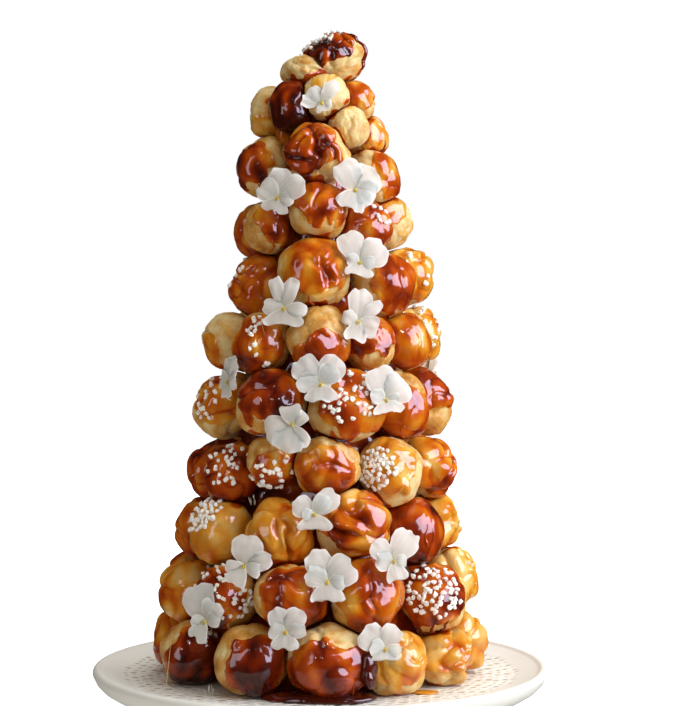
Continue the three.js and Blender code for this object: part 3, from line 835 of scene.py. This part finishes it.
def caramel_depth(bun, ray, inside, crease, coat, bead, below):
    """How thick caramel looks along each direction: more inside its edge, in folds and low down; on the
    underside the extra depth is painted shade as well as caramel that ran there.
    """
    amount = bun.depth
    deep = amount * (0.6 + 0.32 * step(inside, 0, 9))
    deep += (0.045 + 0.2 * amount * (1 - amount)) * bun.flow.at(ray)
    deep += (0.045 + 0.04 * amount) * bun.streaks.at(ray * (1, 1, 0.45))
    # Deeper where the skin faces down: caramel that ran under the bun, and painted shade on its underside
    deep += 0.42 * amount * step(-ray[:, 2], 0.45, 0.95)
    deep += (0.22 * below * step(inside, 0, 5) + 0.16 * bead) * (0.2 + amount)
    deep += 0.3 * crease * min(1, bun.folds) * (0.45 + amount)
    return np.where(coat > 0.02, deep, FILM_DEPTH)


def bun_surface(bun, own):
    """Points of a bun in its own directions, and the coat, depth and bake there."""
    ray = (own * bun.half) @ bun.axes
    length = np.linalg.norm(ray, axis=1)
    ray = ray / length[:, None]
    inside = caramel_shore(bun, ray)
    coat = step(inside, -0.8, 0.8)
    swell, crease = swell_of(bun, own, coat)
    length = length * swell

    # Caramel creeps up from the contacts, and a thin film of it lies on browner crust
    limit = np.full(len(ray), FAR)
    for toward, away in bun.flats:
        if away <= LIGHT_TOUCH * bun.reach(toward):
            limit = np.minimum(limit, to_flat(ray, toward, away))
    glue = step(GLUE_REACH + 1.3 * bun.shore.at(ray * 1.7) - (limit - length), 0, 2)
    film = step(bun.film.at(ray) + 2.2 * (bun.bake - 0.5), 0.3, 1.7) * 0.55

    # The edge of the cap is a bead, thickest where the caramel has run down
    below = step(bun.cap[2] - ray[:, 2], 0.1, 1.2)
    bead = hump(inside, 1.1, 1.4) * (0.3 + 0.7 * below)
    deep = caramel_depth(bun, ray, inside, crease, coat, bead, below)
    deep = deep * (1 - glue) + np.maximum(deep, GLUE_DEPTH) * glue
    cover = np.maximum(np.maximum(coat, glue), film)

    # The caramel's thickness, the crust's grain, and the flats with rolled edges
    length += cover * (0.2 + np.maximum(deep, 0) * coat) + 0.3 * bead * coat
    length += (0.1 - 0.05 * cover) * bun.grain.at(own)
    for toward, away in bun.flats:
        near = to_flat(ray, toward, away)
        length = near - ROUNDING * np.logaddexp(0, (near - length) / ROUNDING)
    bake = bun.bake + 0.12 * bun.lumps.at(own * 1.5) - 0.22 * crease
    return bun.centre + ray * length[:, None], cover, np.clip(deep, 0, 1), np.clip(bake, 0, 1)


def toward_crown(directions):
    """Draws directions together round the crown, where a bun shows its detail."""
    polar = np.arccos(np.clip(directions[:, 2], -1, 1))
    drawn = polar * (polar / math.pi) ** 0.2
    flat = directions[:, :2] / np.maximum(np.linalg.norm(directions[:, :2], axis=1, keepdims=True), 1e-9)
    return np.column_stack([flat * np.sin(drawn)[:, None], np.cos(drawn)])


BUN_CUTS = (19, 25, 34)  # cuts in the mesh of a bun behind, a shown one and a folded one
BUNCH = 3  # buns in a piece, about


def make_buns():
    """Each ring's buns, in bunches of a few neighbours."""
    grids = [cube_ball(cuts) for cuts in BUN_CUTS]
    grids = [(toward_crown(directions), faces) for directions, faces in grids]
    folded = [SHOWN[number] for number in FOLDS]
    for level, ring in enumerate(RINGS):
        ordered = sorted(ring, key=Bun.turn)
        bunches = max(1, round(len(ordered) / BUNCH))
        node = "crown_buns" if level == CROWN else f"bun_ring_{level + 1:02d}"
        for part, members in enumerate(np.array_split(np.array(ordered, object), bunches)):
            heap = Heap()
            for bun in members:
                own, faces = grids[bun.shown + (bun in folded)]
                points, coat, depth, bake = bun_surface(bun, own)
                heap.add(points, faces, coat=coat, depth=depth, bake=bake)
            name = f"choux_{level + 1:02d}_{part + 1}"
            place(heap.piece(name, CHOUX), "caramelled_choux", node)


make_buns()


# ------------------------------------------------------------------ the tower's middle
CORE_INSET = 0.06  # share of its radius that the middle stays inside its solid, so the gaps look deep
CORE_ROWS, CORE_SIDES = 118, 140
CORE_LENGTHS = (26, 9, 4)  # mm, of its lumps, knobs and wrinkles
CORE_SEED, SUGAR_SEED, VIOLA_SEED, BLOB_SEED = 7, 11, 100, 500


def make_core():
    """Lumpy caramel-soaked middle that shows through the gaps between the buns; its dark deep caramel is
    also painted shade for those gaps.
    """
    heights = [WELL + 0.4, *HEIGHTS]
    radii = [CORES[0], *CORES]
    leans = [LEANS[0], *LEANS]
    rows = np.linspace(heights[0], heights[-1], CORE_ROWS)
    radius = np.interp(rows, heights, radii) * (1 - CORE_INSET)
    points = lathed(radius[:, None], rows[:, None], CORE_SIDES)
    rng = np.random.default_rng(CORE_SEED)
    lumps, knobs, wrinkles = (Ripples(rng, length) for length in CORE_LENGTHS)
    bulge = 2.4 * lumps.at(points) - 1.6 * hump(knobs.at(points), 0.35) + 0.25 * wrinkles.at(points)
    points += lathed(1, 0, CORE_SIDES) * bulge[..., None]
    points[..., 0] += np.interp(rows, heights, leans)[:, None]
    flat = points.reshape(-1, 3)
    ends = np.array([[leans[0], 0, heights[0]], [leans[-1], 0, heights[-1] + 2]])
    # Deep, dark caramel all over: the soaked middle's own colour, and painted shade for the gaps
    depth = 0.74 + 0.1 * lumps.at(flat) + 0.06 * knobs.at(flat)
    attributes = {"coat": np.ones(len(flat)), "depth": depth, "bake": np.full(len(flat), 0.85)}
    faces = grid_faces(CORE_ROWS, CORE_SIDES, closed=True)
    middle = solid("core", flat, faces, CHOUX, attributes)
    close_ends(middle, ends, CORE_SIDES)
    place(middle, "caramelled_choux")


def close_ends(piece, ends, sides):
    """Closes a lathed skin with a fan at each end."""
    mesh = bmesh.new()
    mesh.from_mesh(piece.data)
    mesh.verts.ensure_lookup_table()
    count = len(mesh.verts)
    layers = [mesh.verts.layers.float[name] for name in mesh.verts.layers.float.keys()]
    rings = [mesh.verts[:sides], mesh.verts[count - sides:count]]
    for flip, (ring, end) in enumerate(zip(rings, ends)):
        tip = mesh.verts.new(Vector(end) * MM)
        for layer in layers:
            tip[layer] = ring[0][layer]
        for i in range(sides):
            corners = [ring[i], tip, ring[(i + 1) % sides]]
            mesh.faces.new(corners[::-1] if flip else corners)
    mesh.to_mesh(piece.data)
    mesh.free()
    piece.data.shade_smooth()


make_core()


# ------------------------------------------------------------------ pearl sugar
# Clusters as [bun, clock angle, angle from the front, half angle, nibs]; the bun is counted
# from the plate up, left to right, among the shown ones.
SUGAR_CLUSTERS = [
    (1, 35, 62, 26, 10), (7, 40, 55, 22, 6), (8, 320, 32, 58, 22), (8, 95, 34, 24, 14),
    (11, 0, 28, 52, 62), (14, 322, 60, 32, 30), (20, 350, 28, 50, 26), (21, 200, 35, 46, 16),
    (23, 292, 32, 38, 72), (25, 305, 48, 50, 18), (27, 18, 24, 44, 34), (31, 340, 42, 24, 10),
    (31, 195, 26, 26, 5), (35, 20, 30, 56, 22), (39, 0, 20, 50, 6), (36, 290, 60, 26, 5),
    (43, 50, 38, 32, 7), (54, 300, 80, 26, 12), (54, 350, 62, 24, 8), (29, 200, 40, 30, 3),
    (14, 292, 66, 24, 13), (21, 150, 30, 30, 5),
]
# Clusters behind: share of the buns that have one, nibs, angle from the front and half angle
BEHIND_SHARE, BEHIND_NIBS, BEHIND_AWAY, BEHIND_SPREAD = 0.3, 24, 25, 0.8
# Glassy splinters that stand in the gaps, as [foot, splinters]
SPLINTERS = [((-43, -53, 139), 6), ((-17, -52, 277), 5), ((-7, -60, 197), 4), ((1, -79, 57), 5),
             ((-48, -70, 42), 5), ((30, -46, 243), 4), ((-69, -77, 19), 5)]
NIB_SIZES = ((1.1, 2.05), (0.95, 1.7), (0.8, 1.3))  # mm, half length, width and thickness
NIB_GAP = 2.6  # mm, least distance between two nibs
NIB_LIFT = 0.5  # mm that a nib's middle stands out of the caramel
NIB_CLEARANCE = 0.5  # mm from a neighbour
NIB_TRIES = 6  # places tried for each nib
NIB_CROWDING = 0.7  # below 1, nibs lie thicker towards the edge of their cluster
NIB_CHIPS, NIB_TILT = 0.16, 0.35
SPLINTER_SPREAD, SPLINTER_RADII = 2.5, (0.2, 0.42)
SLOPE_STEP = 0.03  # between the directions whose points give a slope


def nib_shape(ball, rng):
    """A chipped lump of sugar about its own middle."""
    block = ball / (np.abs(ball) ** 4).sum(1, keepdims=True) ** 0.25
    size = np.array([rng.uniform(*limits) for limits in NIB_SIZES])
    return block * size * (1 + NIB_CHIPS * rng.normal(size=(len(ball), 1)))


def turned_to(normal, spin):
    """Rows of axes with the last one along a direction, spun about it."""
    side, top = square_to(normal, [-0.3, -0.1, -0.95])
    return np.array([side * math.cos(spin) + top * math.sin(spin),
                     top * math.cos(spin) - side * math.sin(spin), normal])


def on_bun(bun, rays):
    """Points on a bun, caramel included, along world directions, and the skin's slope there."""
    def at(directions):
        own = unit((directions @ bun.axes.T) / bun.half)
        return bun_surface(bun, own)[0]
    side, other = square_to(rays, [0.13, 0.21, 0.97])
    points = at(rays)
    beside, above = (at(unit(rays + SLOPE_STEP * way)) - points for way in (side, other))
    normals = unit(np.cross(beside, above))
    normals *= np.sign((normals * rays).sum(1, keepdims=True))
    return points, normals


def scatter_nibs(heap, ball, faces, bun, axis, spread, count, rng):
    """Nibs on a bun round an axis, clear of each other and of the bun's neighbours."""
    kept = []
    lean = rng.uniform(0, 1, count * NIB_TRIES) ** NIB_CROWDING * spread
    turn = rng.uniform(0, 2 * math.pi, count * NIB_TRIES)
    side, other = square_to(axis, [0.2, 0.1, 0.97])
    rays = unit(around(axis, around(side, other, turn), lean))
    reach = bun.half[0] * 1.05
    free = np.ones(len(rays), bool)
    for toward, away in bun.flats:
        free &= rays @ toward * reach < away - NIB_CLEARANCE
    points, normals = on_bun(bun, rays[free])
    for point, normal in zip(points, normals):
        if len(kept) == count:
            break
        if any(math.dist(point, other_point) < NIB_GAP for other_point in kept):
            continue
        kept.append(point)
        tip = unit(normal + NIB_TILT * rng.normal(size=3))
        shape = nib_shape(ball, rng)
        heap.add(point + normal * NIB_LIFT + shape @ turned_to(tip, rng.uniform(0, 6.28)), faces)


def make_sugar():
    """Nibs in clusters on the buns, and thin splinters in the gaps."""
    mesh = bmesh.new()
    bmesh.ops.create_icosphere(mesh, subdivisions=2, radius=1)
    ball, faces = taken_apart(mesh)
    rng = np.random.default_rng(SUGAR_SEED)
    heap = Heap()
    for index, clock, away, spread, count in SUGAR_CLUSTERS:
        axis = spun(outward(0), clock, away)
        scatter_nibs(heap, ball, faces, SHOWN[index], axis, math.radians(spread), count, rng)
    hidden = [bun for bun in BUNS if not bun.shown]
    for index, bun in enumerate(hidden):
        if chance(index + 40) < BEHIND_SHARE:
            axis = spun(unit(bun.home * (1, 1, 0)), between(index, -90, 90), BEHIND_AWAY)
            scatter_nibs(heap, ball, faces, bun, axis, BEHIND_SPREAD, BEHIND_NIBS, rng)
    for foot, count in SPLINTERS:
        out = unit(np.array([foot[0], foot[1], 0.0]))
        for _ in range(count):
            start = foot + out * 3 + rng.uniform(-SPLINTER_SPREAD, SPLINTER_SPREAD, 3)
            end = start + out * rng.uniform(1, 4) + UP * rng.uniform(3, 6.5) + rng.uniform(-2, 2, 3)
            points, quads = tube(line(start, end, 5), rng.uniform(*SPLINTER_RADII), 4)
            heap.add(points, np.concatenate([quads[:, :3], quads[:, [0, 2, 3]]]))
    place(heap.piece("pearl_sugar", SUGAR, smooth=False), "caramelled_choux")


make_sugar()


# ------------------------------------------------------------------ violas
VIOLAS = 24
# Violas on the back: their azimuths, the share of them from one to the next, and most degrees
# that their petals are turned
BACK_FIRST, BACK_SPAN, BACK_STEP, BACK_ROLL = 112, 136, 0.618, 30
# Front violas as [azimuth that it faces, petals from back to front]. A petal is [clock angle
# from the eye, width, length]; the last one is the fan-shaped lower petal.
FRONT_VIOLAS = [
    (5, [(-85, 8, 14), (-35, 9, 12.5), (35, 8.5, 17.5), (100, 6, 7), (170, 8, 7)]),
    (-16, [(5, 14, 20), (60, 14, 21), (-55, 14, 15.5), (100, 9, 11), (195, 16, 10)]),
    (14, [(-25, 17, 20.5), (50, 19, 18), (105, 15, 15), (150, 14, 14), (205, 17, 15)]),
    (12, [(-25, 16, 21.5), (58, 18, 20), (-75, 8, 9), (95, 8, 10), (190, 16, 10)]),
    (-12, [(-20, 8.5, 21.5), (18, 9.5, 21), (-85, 9.5, 15), (98, 8.5, 15), (180, 22, 12)]),
    (14, [(8, 14.5, 21.5), (52, 7.5, 20), (-68, 9, 11), (115, 12.5, 14.5), (195, 13, 14)]),
    (0, [(-45, 16, 21.5), (36, 16, 21), (-80, 13, 15), (42, 13, 14), (177, 18, 12)]),
    (20, [(-15, 18, 21.5), (50, 19.5, 18.5), (-70, 9, 10.5), (95, 8, 9), (172, 18, 9.5)]),
    (-64, [(-20, 14, 16), (30, 14, 17), (-85, 11, 13), (85, 11, 13), (180, 14, 12)]),
    (-8, [(-105, 17, 19), (195, 19, 18), (150, 11, 16), (40, 9, 12), (-8, 12, 14)]),
    (0, [(45, 13, 20), (-60, 12.5, 15), (35, 10.5, 14), (-100, 8, 8), (178, 19, 11)]),
    (-16, [(75, 11, 19.5), (5, 19, 20), (110, 8, 12), (-97, 7.5, 13), (210, 12, 15)]),
    (2, [(-25, 16, 21.5), (55, 19, 20), (-65, 13, 15), (95, 10, 12), (180, 18, 13.5)]),
    (16, [(-50, 12, 18), (35, 17, 22), (-90, 12, 12.5), (95, 8, 8), (170, 12, 14)]),
    (-26, [(-25, 21, 25), (30, 14, 15), (75, 10, 11), (-100, 9, 10), (205, 12, 13.5)]),
    (-6, [(-30, 12, 16.5), (35, 12.5, 17), (-85, 10.5, 11), (85, 9, 13), (183, 15, 11.5)]),
    (12, [(-50, 16, 19), (25, 12.5, 16), (-80, 10, 10), (110, 9, 9.5), (178, 15, 8)]),
]
PETAL_CUTS, EYE_CUTS = 13, 5
PETAL_RIM = 0.965  # share of the half width where the last row of a petal starts
PETAL_WIDTH = 0.56  # half width of a petal's grid, as a share of its width
PETAL_LENGTH = 20  # mm, a usual petal's
PETAL_THICKNESS = 0.22
PETAL_LAYER = 0.45  # mm from one petal's heart to the next one's
LOWER_PETAL = 4  # its number in a viola
EYE_SIZE, EYE_OFFSET = (1.1, 1.3, 0.5), 0.8  # mm, and how far it lies down the lower petal
VIOLA_TILT = 0.1  # radians that a viola looks up


def petal_points(number, petal, rng):
    """Front face of one petal, heart to tip, with its along, across and nearness to the rim."""
    clock, width, length = petal
    lower = number == LOWER_PETAL
    grid = [-1, *np.linspace(-PETAL_RIM, PETAL_RIM, PETAL_CUTS - 2), 1]
    v, u = np.meshgrid(grid, grid, indexing="ij")
    across = (u * np.sqrt(1 - v * v / 2)).ravel()
    along = (v * np.sqrt(1 - u * u / 2)).ravel() * 0.5 + 0.5
    out = 1 - np.clip(1 - along, 0, 1) ** (1.7 if lower else rng.uniform(1.0, 1.25))
    notch = 0.13 if lower else rng.uniform(0, 0.06)
    notch *= hump(across, 0.35, rng.uniform(-0.2, 0.2))
    x = width * PETAL_WIDTH * across * (1 + 0.2 * (2 * out - 1)) * step(along, -0.6, 0.2)
    y = length * (out - notch * step(along, 0.6, 1))
    # The rim is wavy, in its outline and up and down
    flat = np.stack([x, y, 0 * x], 1)
    nearness = np.hypot(across, 2 * along - 1)
    rim = np.clip(nearness, 0, 1) ** 3 * along
    x = x + 0.35 * rim * Ripples(rng, 7, 8).at(flat)
    y = y + 0.45 * rim * Ripples(rng, 6, 8).at(flat)
    # Each petal is cupped and turned up at its tip in its own way, and the heart is sunk
    share = length / PETAL_LENGTH
    cup = rng.uniform(0.4, 1.8) * np.sin(along * math.pi) - rng.uniform(0.2, 1.6) * across ** 2 * along
    tip = rng.uniform(-2.2, 0.8) * along ** 2.5 + rng.uniform(-1, 1) * across * along ** 1.5
    z = (number - 2) * PETAL_LAYER - 1.5 * (1 - along) ** 2 + (cup + tip) * share
    z += 0.75 * rim * Ripples(rng, 9, 8).at(flat) + 0.3 * Ripples(rng, 5, 8).at(flat * (1, 0.3, 1)) * along
    turn = math.radians(clock)
    spin = np.array([[math.cos(turn), -math.sin(turn), 0], [math.sin(turn), math.cos(turn), 0], [0, 0, 1]])
    return np.stack([x, y, z], 1) @ spin, along, across, nearness


def sheet_faces(rows, columns):
    """Quads of a thin closed sheet: front face, back face and the rim between them."""
    front = grid_faces(rows, columns)
    count = rows * columns
    rim = np.array([*range(columns), *range(2 * columns - 1, count, columns),
                    *range(count - 2, count - columns - 1, -1), *range(count - 2 * columns, 0, -columns)])
    after = np.roll(rim, -1)
    band = np.stack([after, rim, rim + count, after + count], -1)
    return np.concatenate([front, front[:, ::-1] + count, band])


def make_viola(number, azimuth, petals, ball, ball_faces):
    """Five petals round a small yellow eye, in the middle of its solid's box."""
    rng = np.random.default_rng(number + VIOLA_SEED)
    heap = Heap()
    faces = sheet_faces(PETAL_CUTS, PETAL_CUTS)
    for layer, petal in enumerate(petals):
        front, along, across, rim = petal_points(layer, petal, rng)
        back = front - (0, 0, PETAL_THICKNESS)
        both = {"along": np.tile(along, 2), "across": np.tile(across, 2), "rim": np.tile(rim, 2)}
        heap.add(np.concatenate([front, back]), faces, eye=0.0, **both)
    lower = math.radians(petals[LOWER_PETAL][0])
    eye = ball * EYE_SIZE * (1 + 0.2 * Ripples(rng, 0.9).at(ball))[:, None]
    eye += (math.sin(lower) * EYE_OFFSET, math.cos(lower) * EYE_OFFSET, PETAL_LAYER)
    heap.add(eye, ball_faces, along=0.0, across=0.0, rim=0.0, eye=1.0)
    points = np.concatenate(heap.points) @ axes_of(outward(azimuth, VIOLA_TILT))
    node = f"viola_{number:02d}"
    low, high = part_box(node)
    middle = np.array((low + high) / 2) / MM
    heap.points = [points + middle - (points.min(0) + points.max(0)) / 2]
    piece = heap.piece(f"flower_{number:02d}", PETAL)
    piece.data.set_sharp_from_angle(angle=math.radians(60))
    place(piece, "petal", node)


def make_violas():
    ball, faces = cube_ball(EYE_CUTS)
    rows = list(FRONT_VIOLAS)
    for i in range(VIOLAS - len(FRONT_VIOLAS)):
        azimuth = BACK_FIRST + ((i * BACK_STEP + 0.2) % 1) * BACK_SPAN
        roll = between(i + 70, -BACK_ROLL, BACK_ROLL)
        petals = FRONT_VIOLAS[(i * 5 + 6) % len(FRONT_VIOLAS)][1]
        rows.append((azimuth, [(clock + roll, width, length) for clock, width, length in petals]))
    for number, (azimuth, petals) in enumerate(rows, 1):
        make_viola(number, azimuth, petals, ball, faces)


make_violas()


# ------------------------------------------------------------------ plate
PLATE_SIDES = 840
# Lace rings as [radius, dimples, half length outwards, half width, share of a step round]
LACE = [(132.5, 96, 1.3, 1.8, 0), (127, 84, 1.7, 2.3, 0.4), (121, 84, 1.5, 2.1, 0.9),
        (115, 72, 1.8, 2.5, 0.3), (109, 72, 1.5, 2.1, 0.8), (103, 60, 1.7, 2.2, 0.2)]
LACE_DEPTH = 0.9
# How unevenly the dimples were pressed: aside, in size and outwards
LACE_ASIDE, LACE_SIZES, LACE_OUTWARD = 0.16, 0.28, 0.9
FOOT_HEIGHT = 6  # height of the underside in the middle


def plate_profile():
    """Outline from the middle of the underside round the lip to the middle of the well."""
    under = [(r, FOOT_HEIGHT) for r in (0.5, 40, 90)]
    foot = [(93.5, 4.8), (95.2, 1.2), (96.5, 0), (103, 0), (104.5, 1), (107, 4)]
    wall = [(112, 5.2), (125, 5.4), (137, 6.2), (144, 8.4), (149, 11.5), (152.6, 15.2)]
    lip = [(151.6 + 3.3 * math.cos(a), 20.6 + 3.3 * math.sin(a)) for a in np.linspace(-0.2, 2.5, 12)]
    slope = [(r, WELL + 4.2 * ((r - 126) / 21) ** 1.6) for r in np.linspace(146.5, 126.5, 14)]
    well = [(r, WELL) for r in np.linspace(125.5, 98, 34)] + [(r, WELL) for r in (90, 70, 40, 10, 0.5)]
    return np.array(under + foot + wall + lip + slope + well)


def lace_depth(radius, turn):
    """0 to 1 in the pressed dimples of the rim."""
    depth = np.zeros_like(radius)
    for ring, count, half_long, half_wide, shift in LACE:
        pitch = 2 * math.pi / count
        place_round = turn / pitch + shift
        cell = np.floor(place_round)
        off = np.sin(cell * 7.3 + ring) * LACE_ASIDE
        size = 1 + LACE_SIZES * np.sin(cell * 3.7 + ring * 2)
        aside = (place_round % 1 - 0.5 + off) * pitch * ring
        away = radius - ring - LACE_OUTWARD * np.sin(cell * 5.1 + ring)
        oval = np.hypot(away / half_long, aside / half_wide) / size
        depth = np.maximum(depth, step(1.45 - oval, 0, 0.7))
    return depth


def make_plate():
    profile = plate_profile()
    radius, angle = np.broadcast_arrays(profile[:, :1], full_turn(PLATE_SIDES))
    top = np.arange(len(profile))[:, None] > np.argmax(profile[:, 1])
    lace = lace_depth(radius, angle) * top
    points = lathed(radius, profile[:, 1:] - LACE_DEPTH * lace, PLATE_SIDES)
    faces = grid_faces(len(profile), PLATE_SIDES, closed=True)
    piece = solid("lace_plate", points.reshape(-1, 3), faces, GLAZE, {"lace": lace.ravel()})
    close_ends(piece, [(0, 0, FOOT_HEIGHT), (0, 0, WELL)], PLATE_SIDES)
    place(piece, "glaze", "plate")


make_plate()


# ------------------------------------------------------------------ loose caramel
# Blobs as [middle, half sizes, depth]; those on the plate are cut flat by its floor.
BLOBS = [
    ((30, -107, 40), (6, 5.5, 10), 0.97), ((30.5, -108, 34), (5.2, 5, 7), 0.98),
    # The two dark pools at the front buns' feet are caramel given the darkest depth, which also paints in
    # the buns' shadow on the plate
    ((3, -100, 19), (30, 14, 5.5), 1.0), ((-18, -96, 19), (20, 10, 4), 0.95),
    ((68, -76, 18.4), (9, 6, 1.6), 0.22), ((-24.5, -9, 383), (6, 9, 9), 0.40),
]
# Runs of caramel down a bun as [bun, clock angle and angle from the front of its top, degrees
# that it runs down, radius, depth]
RUNS = [
    (17, 75, 38, 62, 1.5, 0.62), (17, 55, 30, 40, 1.2, 0.60), (11, 185, 35, 50, 1.7, 0.80),
    (11, 140, 40, 36, 1.3, 0.75), (3, 120, 50, 40, 1.4, 0.70), (9, 150, 40, 45, 1.3, 0.60),
    (10, 190, 40, 42, 1.4, 0.62), (16, 200, 45, 36, 1.4, 0.50), (27, 170, 45, 40, 1.4, 0.60),
    (28, 170, 30, 46, 1.3, 0.55), (37, 190, 35, 44, 1.5, 0.55), (41, 160, 30, 45, 1.3, 0.45),
    (45, 200, 40, 40, 1.2, 0.60), (53, 100, 55, 60, 1.3, 0.75),
    (54, 16, 66, 40, 3.0, 0.56), (54, 20, 84, 86, 2.6, 0.86),
]
# Spun threads from one point to another
THREADS = [
    ((-96, -72, 62), (-100, -84, 19)), ((24, -84, 108), (25, -86, 88)),
    ((-60, -76, 68), (-56, -90, 46)), ((-34, -74, 143), (-28, -76, 128)),
    ((-40, -60, 268), (-36, -66, 250)), ((8, -66, 222), (10, -72, 205)),
]
BLOB_CUTS, RUN_STEPS, THREAD_STEPS = 13, 26, 20
THREAD_RADIUS, THREAD_SAG = 0.15, 2


def make_loose_caramel():
    """Blobs, runs down the buns and spun threads."""
    heap = Heap()
    ball, faces = cube_ball(BLOB_CUTS)
    for number, (middle, half, depth) in enumerate(BLOBS):
        rng = np.random.default_rng(number + BLOB_SEED)
        points = middle + ball * half * (1 + 0.07 * Ripples(rng, 1.4).at(ball))[:, None]
        points[:, 2] = np.maximum(points[:, 2], WELL + 0.1)
        heap.add(points, faces, coat=1.0, depth=depth, bake=0.5)
    for number, (index, clock, away, sweep, radius, depth) in enumerate(RUNS):
        start = spun(outward(0), clock, away)
        down = unit(start * start[2] - UP)
        share = np.linspace(0, 1, RUN_STEPS)
        sway = 0.05 * np.sin(share * 7 + number)
        rays = around(start, down, np.radians(sweep) * share)
        points, normals = on_bun(SHOWN[index], unit(rays + np.cross(start, down) * sway[:, None]))
        widths = radius * (0.55 + 0.25 * np.sin(share * 9 + number) ** 2 + 0.6 * step(share, 0.6, 0.9))
        points, quads = tube(points + normals * 0.1 * radius, widths, 12)
        heap.add(points, quads, coat=1.0, depth=depth, bake=0.5)
    for start, end in THREADS:
        path = line(start, end, THREAD_STEPS)
        path[:, 2] -= THREAD_SAG * np.sin(np.linspace(0, 1, THREAD_STEPS) * math.pi)
        points, quads = tube(path, THREAD_RADIUS)
        heap.add(points, quads, coat=1.0, depth=0.0, bake=0.0)
    place(heap.piece("loose_caramel", CHOUX), "caramelled_choux")


make_loose_caramel()


# ------------------------------------------------------------------ studio
SEEN_LIGHT, SPREAD_LIGHT, MIRRORED_LIGHT = 1.0, 0.165, 0.02
SPREAD_COLOUR = (1, 0.91, 0.79, 1)
FLOOR_SIZE, FLOOR_HEIGHT = 9000, -0.2
# Soft boxes as [name, place, size, watts, colour]: a big window on the right and soft fills
# light the tower, and the others show in its gloss.
LIGHTING_LAMPS = [
    ("window", (1150, -600, 760), (1300, 1150), 26.7, (0.955, 0.97, 1.0)),
    ("left_fill", (-1100, -900, 500), (900, 900), 0.8, (1.0, 0.88, 0.74)),
    ("front_fill", (300, -1600, 900), (1400, 900), 2.4, (1.0, 0.94, 0.86)),
    ("table_bounce", (0, 0, -0.1), (1600, 1600), 5.6, (1.0, 0.96, 0.90)),
    ("ceiling", (150, -200, 1500), (1500, 1500), 11.5, (1.0, 0.97, 0.92)),
    ("back_fill", (500, 1400, 1100), (1500, 900), 24, (1.0, 0.98, 0.94)),
]
SHINING_LAMPS = [
    ("window_shine", (1150, -620, 760), (1500, 1400), 106, (0.74, 0.76, 1.0)),
    ("high_glint", (250, -1500, 1500), (110, 110), 2.4, (1.0, 0.97, 0.94)),
    ("left_glint", (-750, -1250, 900), (90, 90), 1.2, (1.0, 0.95, 0.92)),
    ("left_shine", (-1000, -900, 500), (400, 900), 6, (0.9, 0.88, 1.0)),
]


def make_world():
    """White surroundings that light the tower softly and show only faintly in its gloss."""
    sky = Surface("studio", bpy.data.worlds)
    bpy.context.scene.world = sky.material
    shown = sky.add("ShaderNodeBackground", {}, {"Color": SPREAD_COLOUR, "Strength": SPREAD_LIGHT})
    for ray, strength in (("Is Glossy Ray", MIRRORED_LIGHT), ("Is Camera Ray", SEEN_LIGHT)):
        chosen = sky.add("ShaderNodeLightPath", output=ray)
        light = sky.add("ShaderNodeBackground", {}, {"Color": (1, 1, 1, 1), "Strength": strength})
        shown = sky.add("ShaderNodeMixShader", {}, {0: chosen, 1: shown, 2: light})
    sky.add("ShaderNodeOutputWorld", {}, {"Surface": shown})


def make_floor():
    paint = Surface("floor")
    tone = paint.mix(paint.noise(400, 1), (0.93, 0.93, 0.93), (0.95, 0.95, 0.95))
    paint.finish(Base_Color=tone, Roughness=0.7, Emission_Color=(1, 1, 1, 1), Emission_Strength=0.9)
    square = ((-1, -1), (1, -1), (1, 1), (-1, 1))
    corners = [(x * FLOOR_SIZE, y * FLOOR_SIZE, FLOOR_HEIGHT) for x, y in square]
    floor = solid("floor", corners, [[0, 1, 2, 3]], paint.material, smooth=False)
    floor.visible_glossy = False
    floor.visible_diffuse = False


make_world()
make_floor()
for lamp in LIGHTING_LAMPS:
    area_lamp(*lamp, mirrored=False)
for lamp in SHINING_LAMPS:
    area_lamp(*lamp, lights=False)
bpy.context.scene.view_settings.view_transform = "Standard"
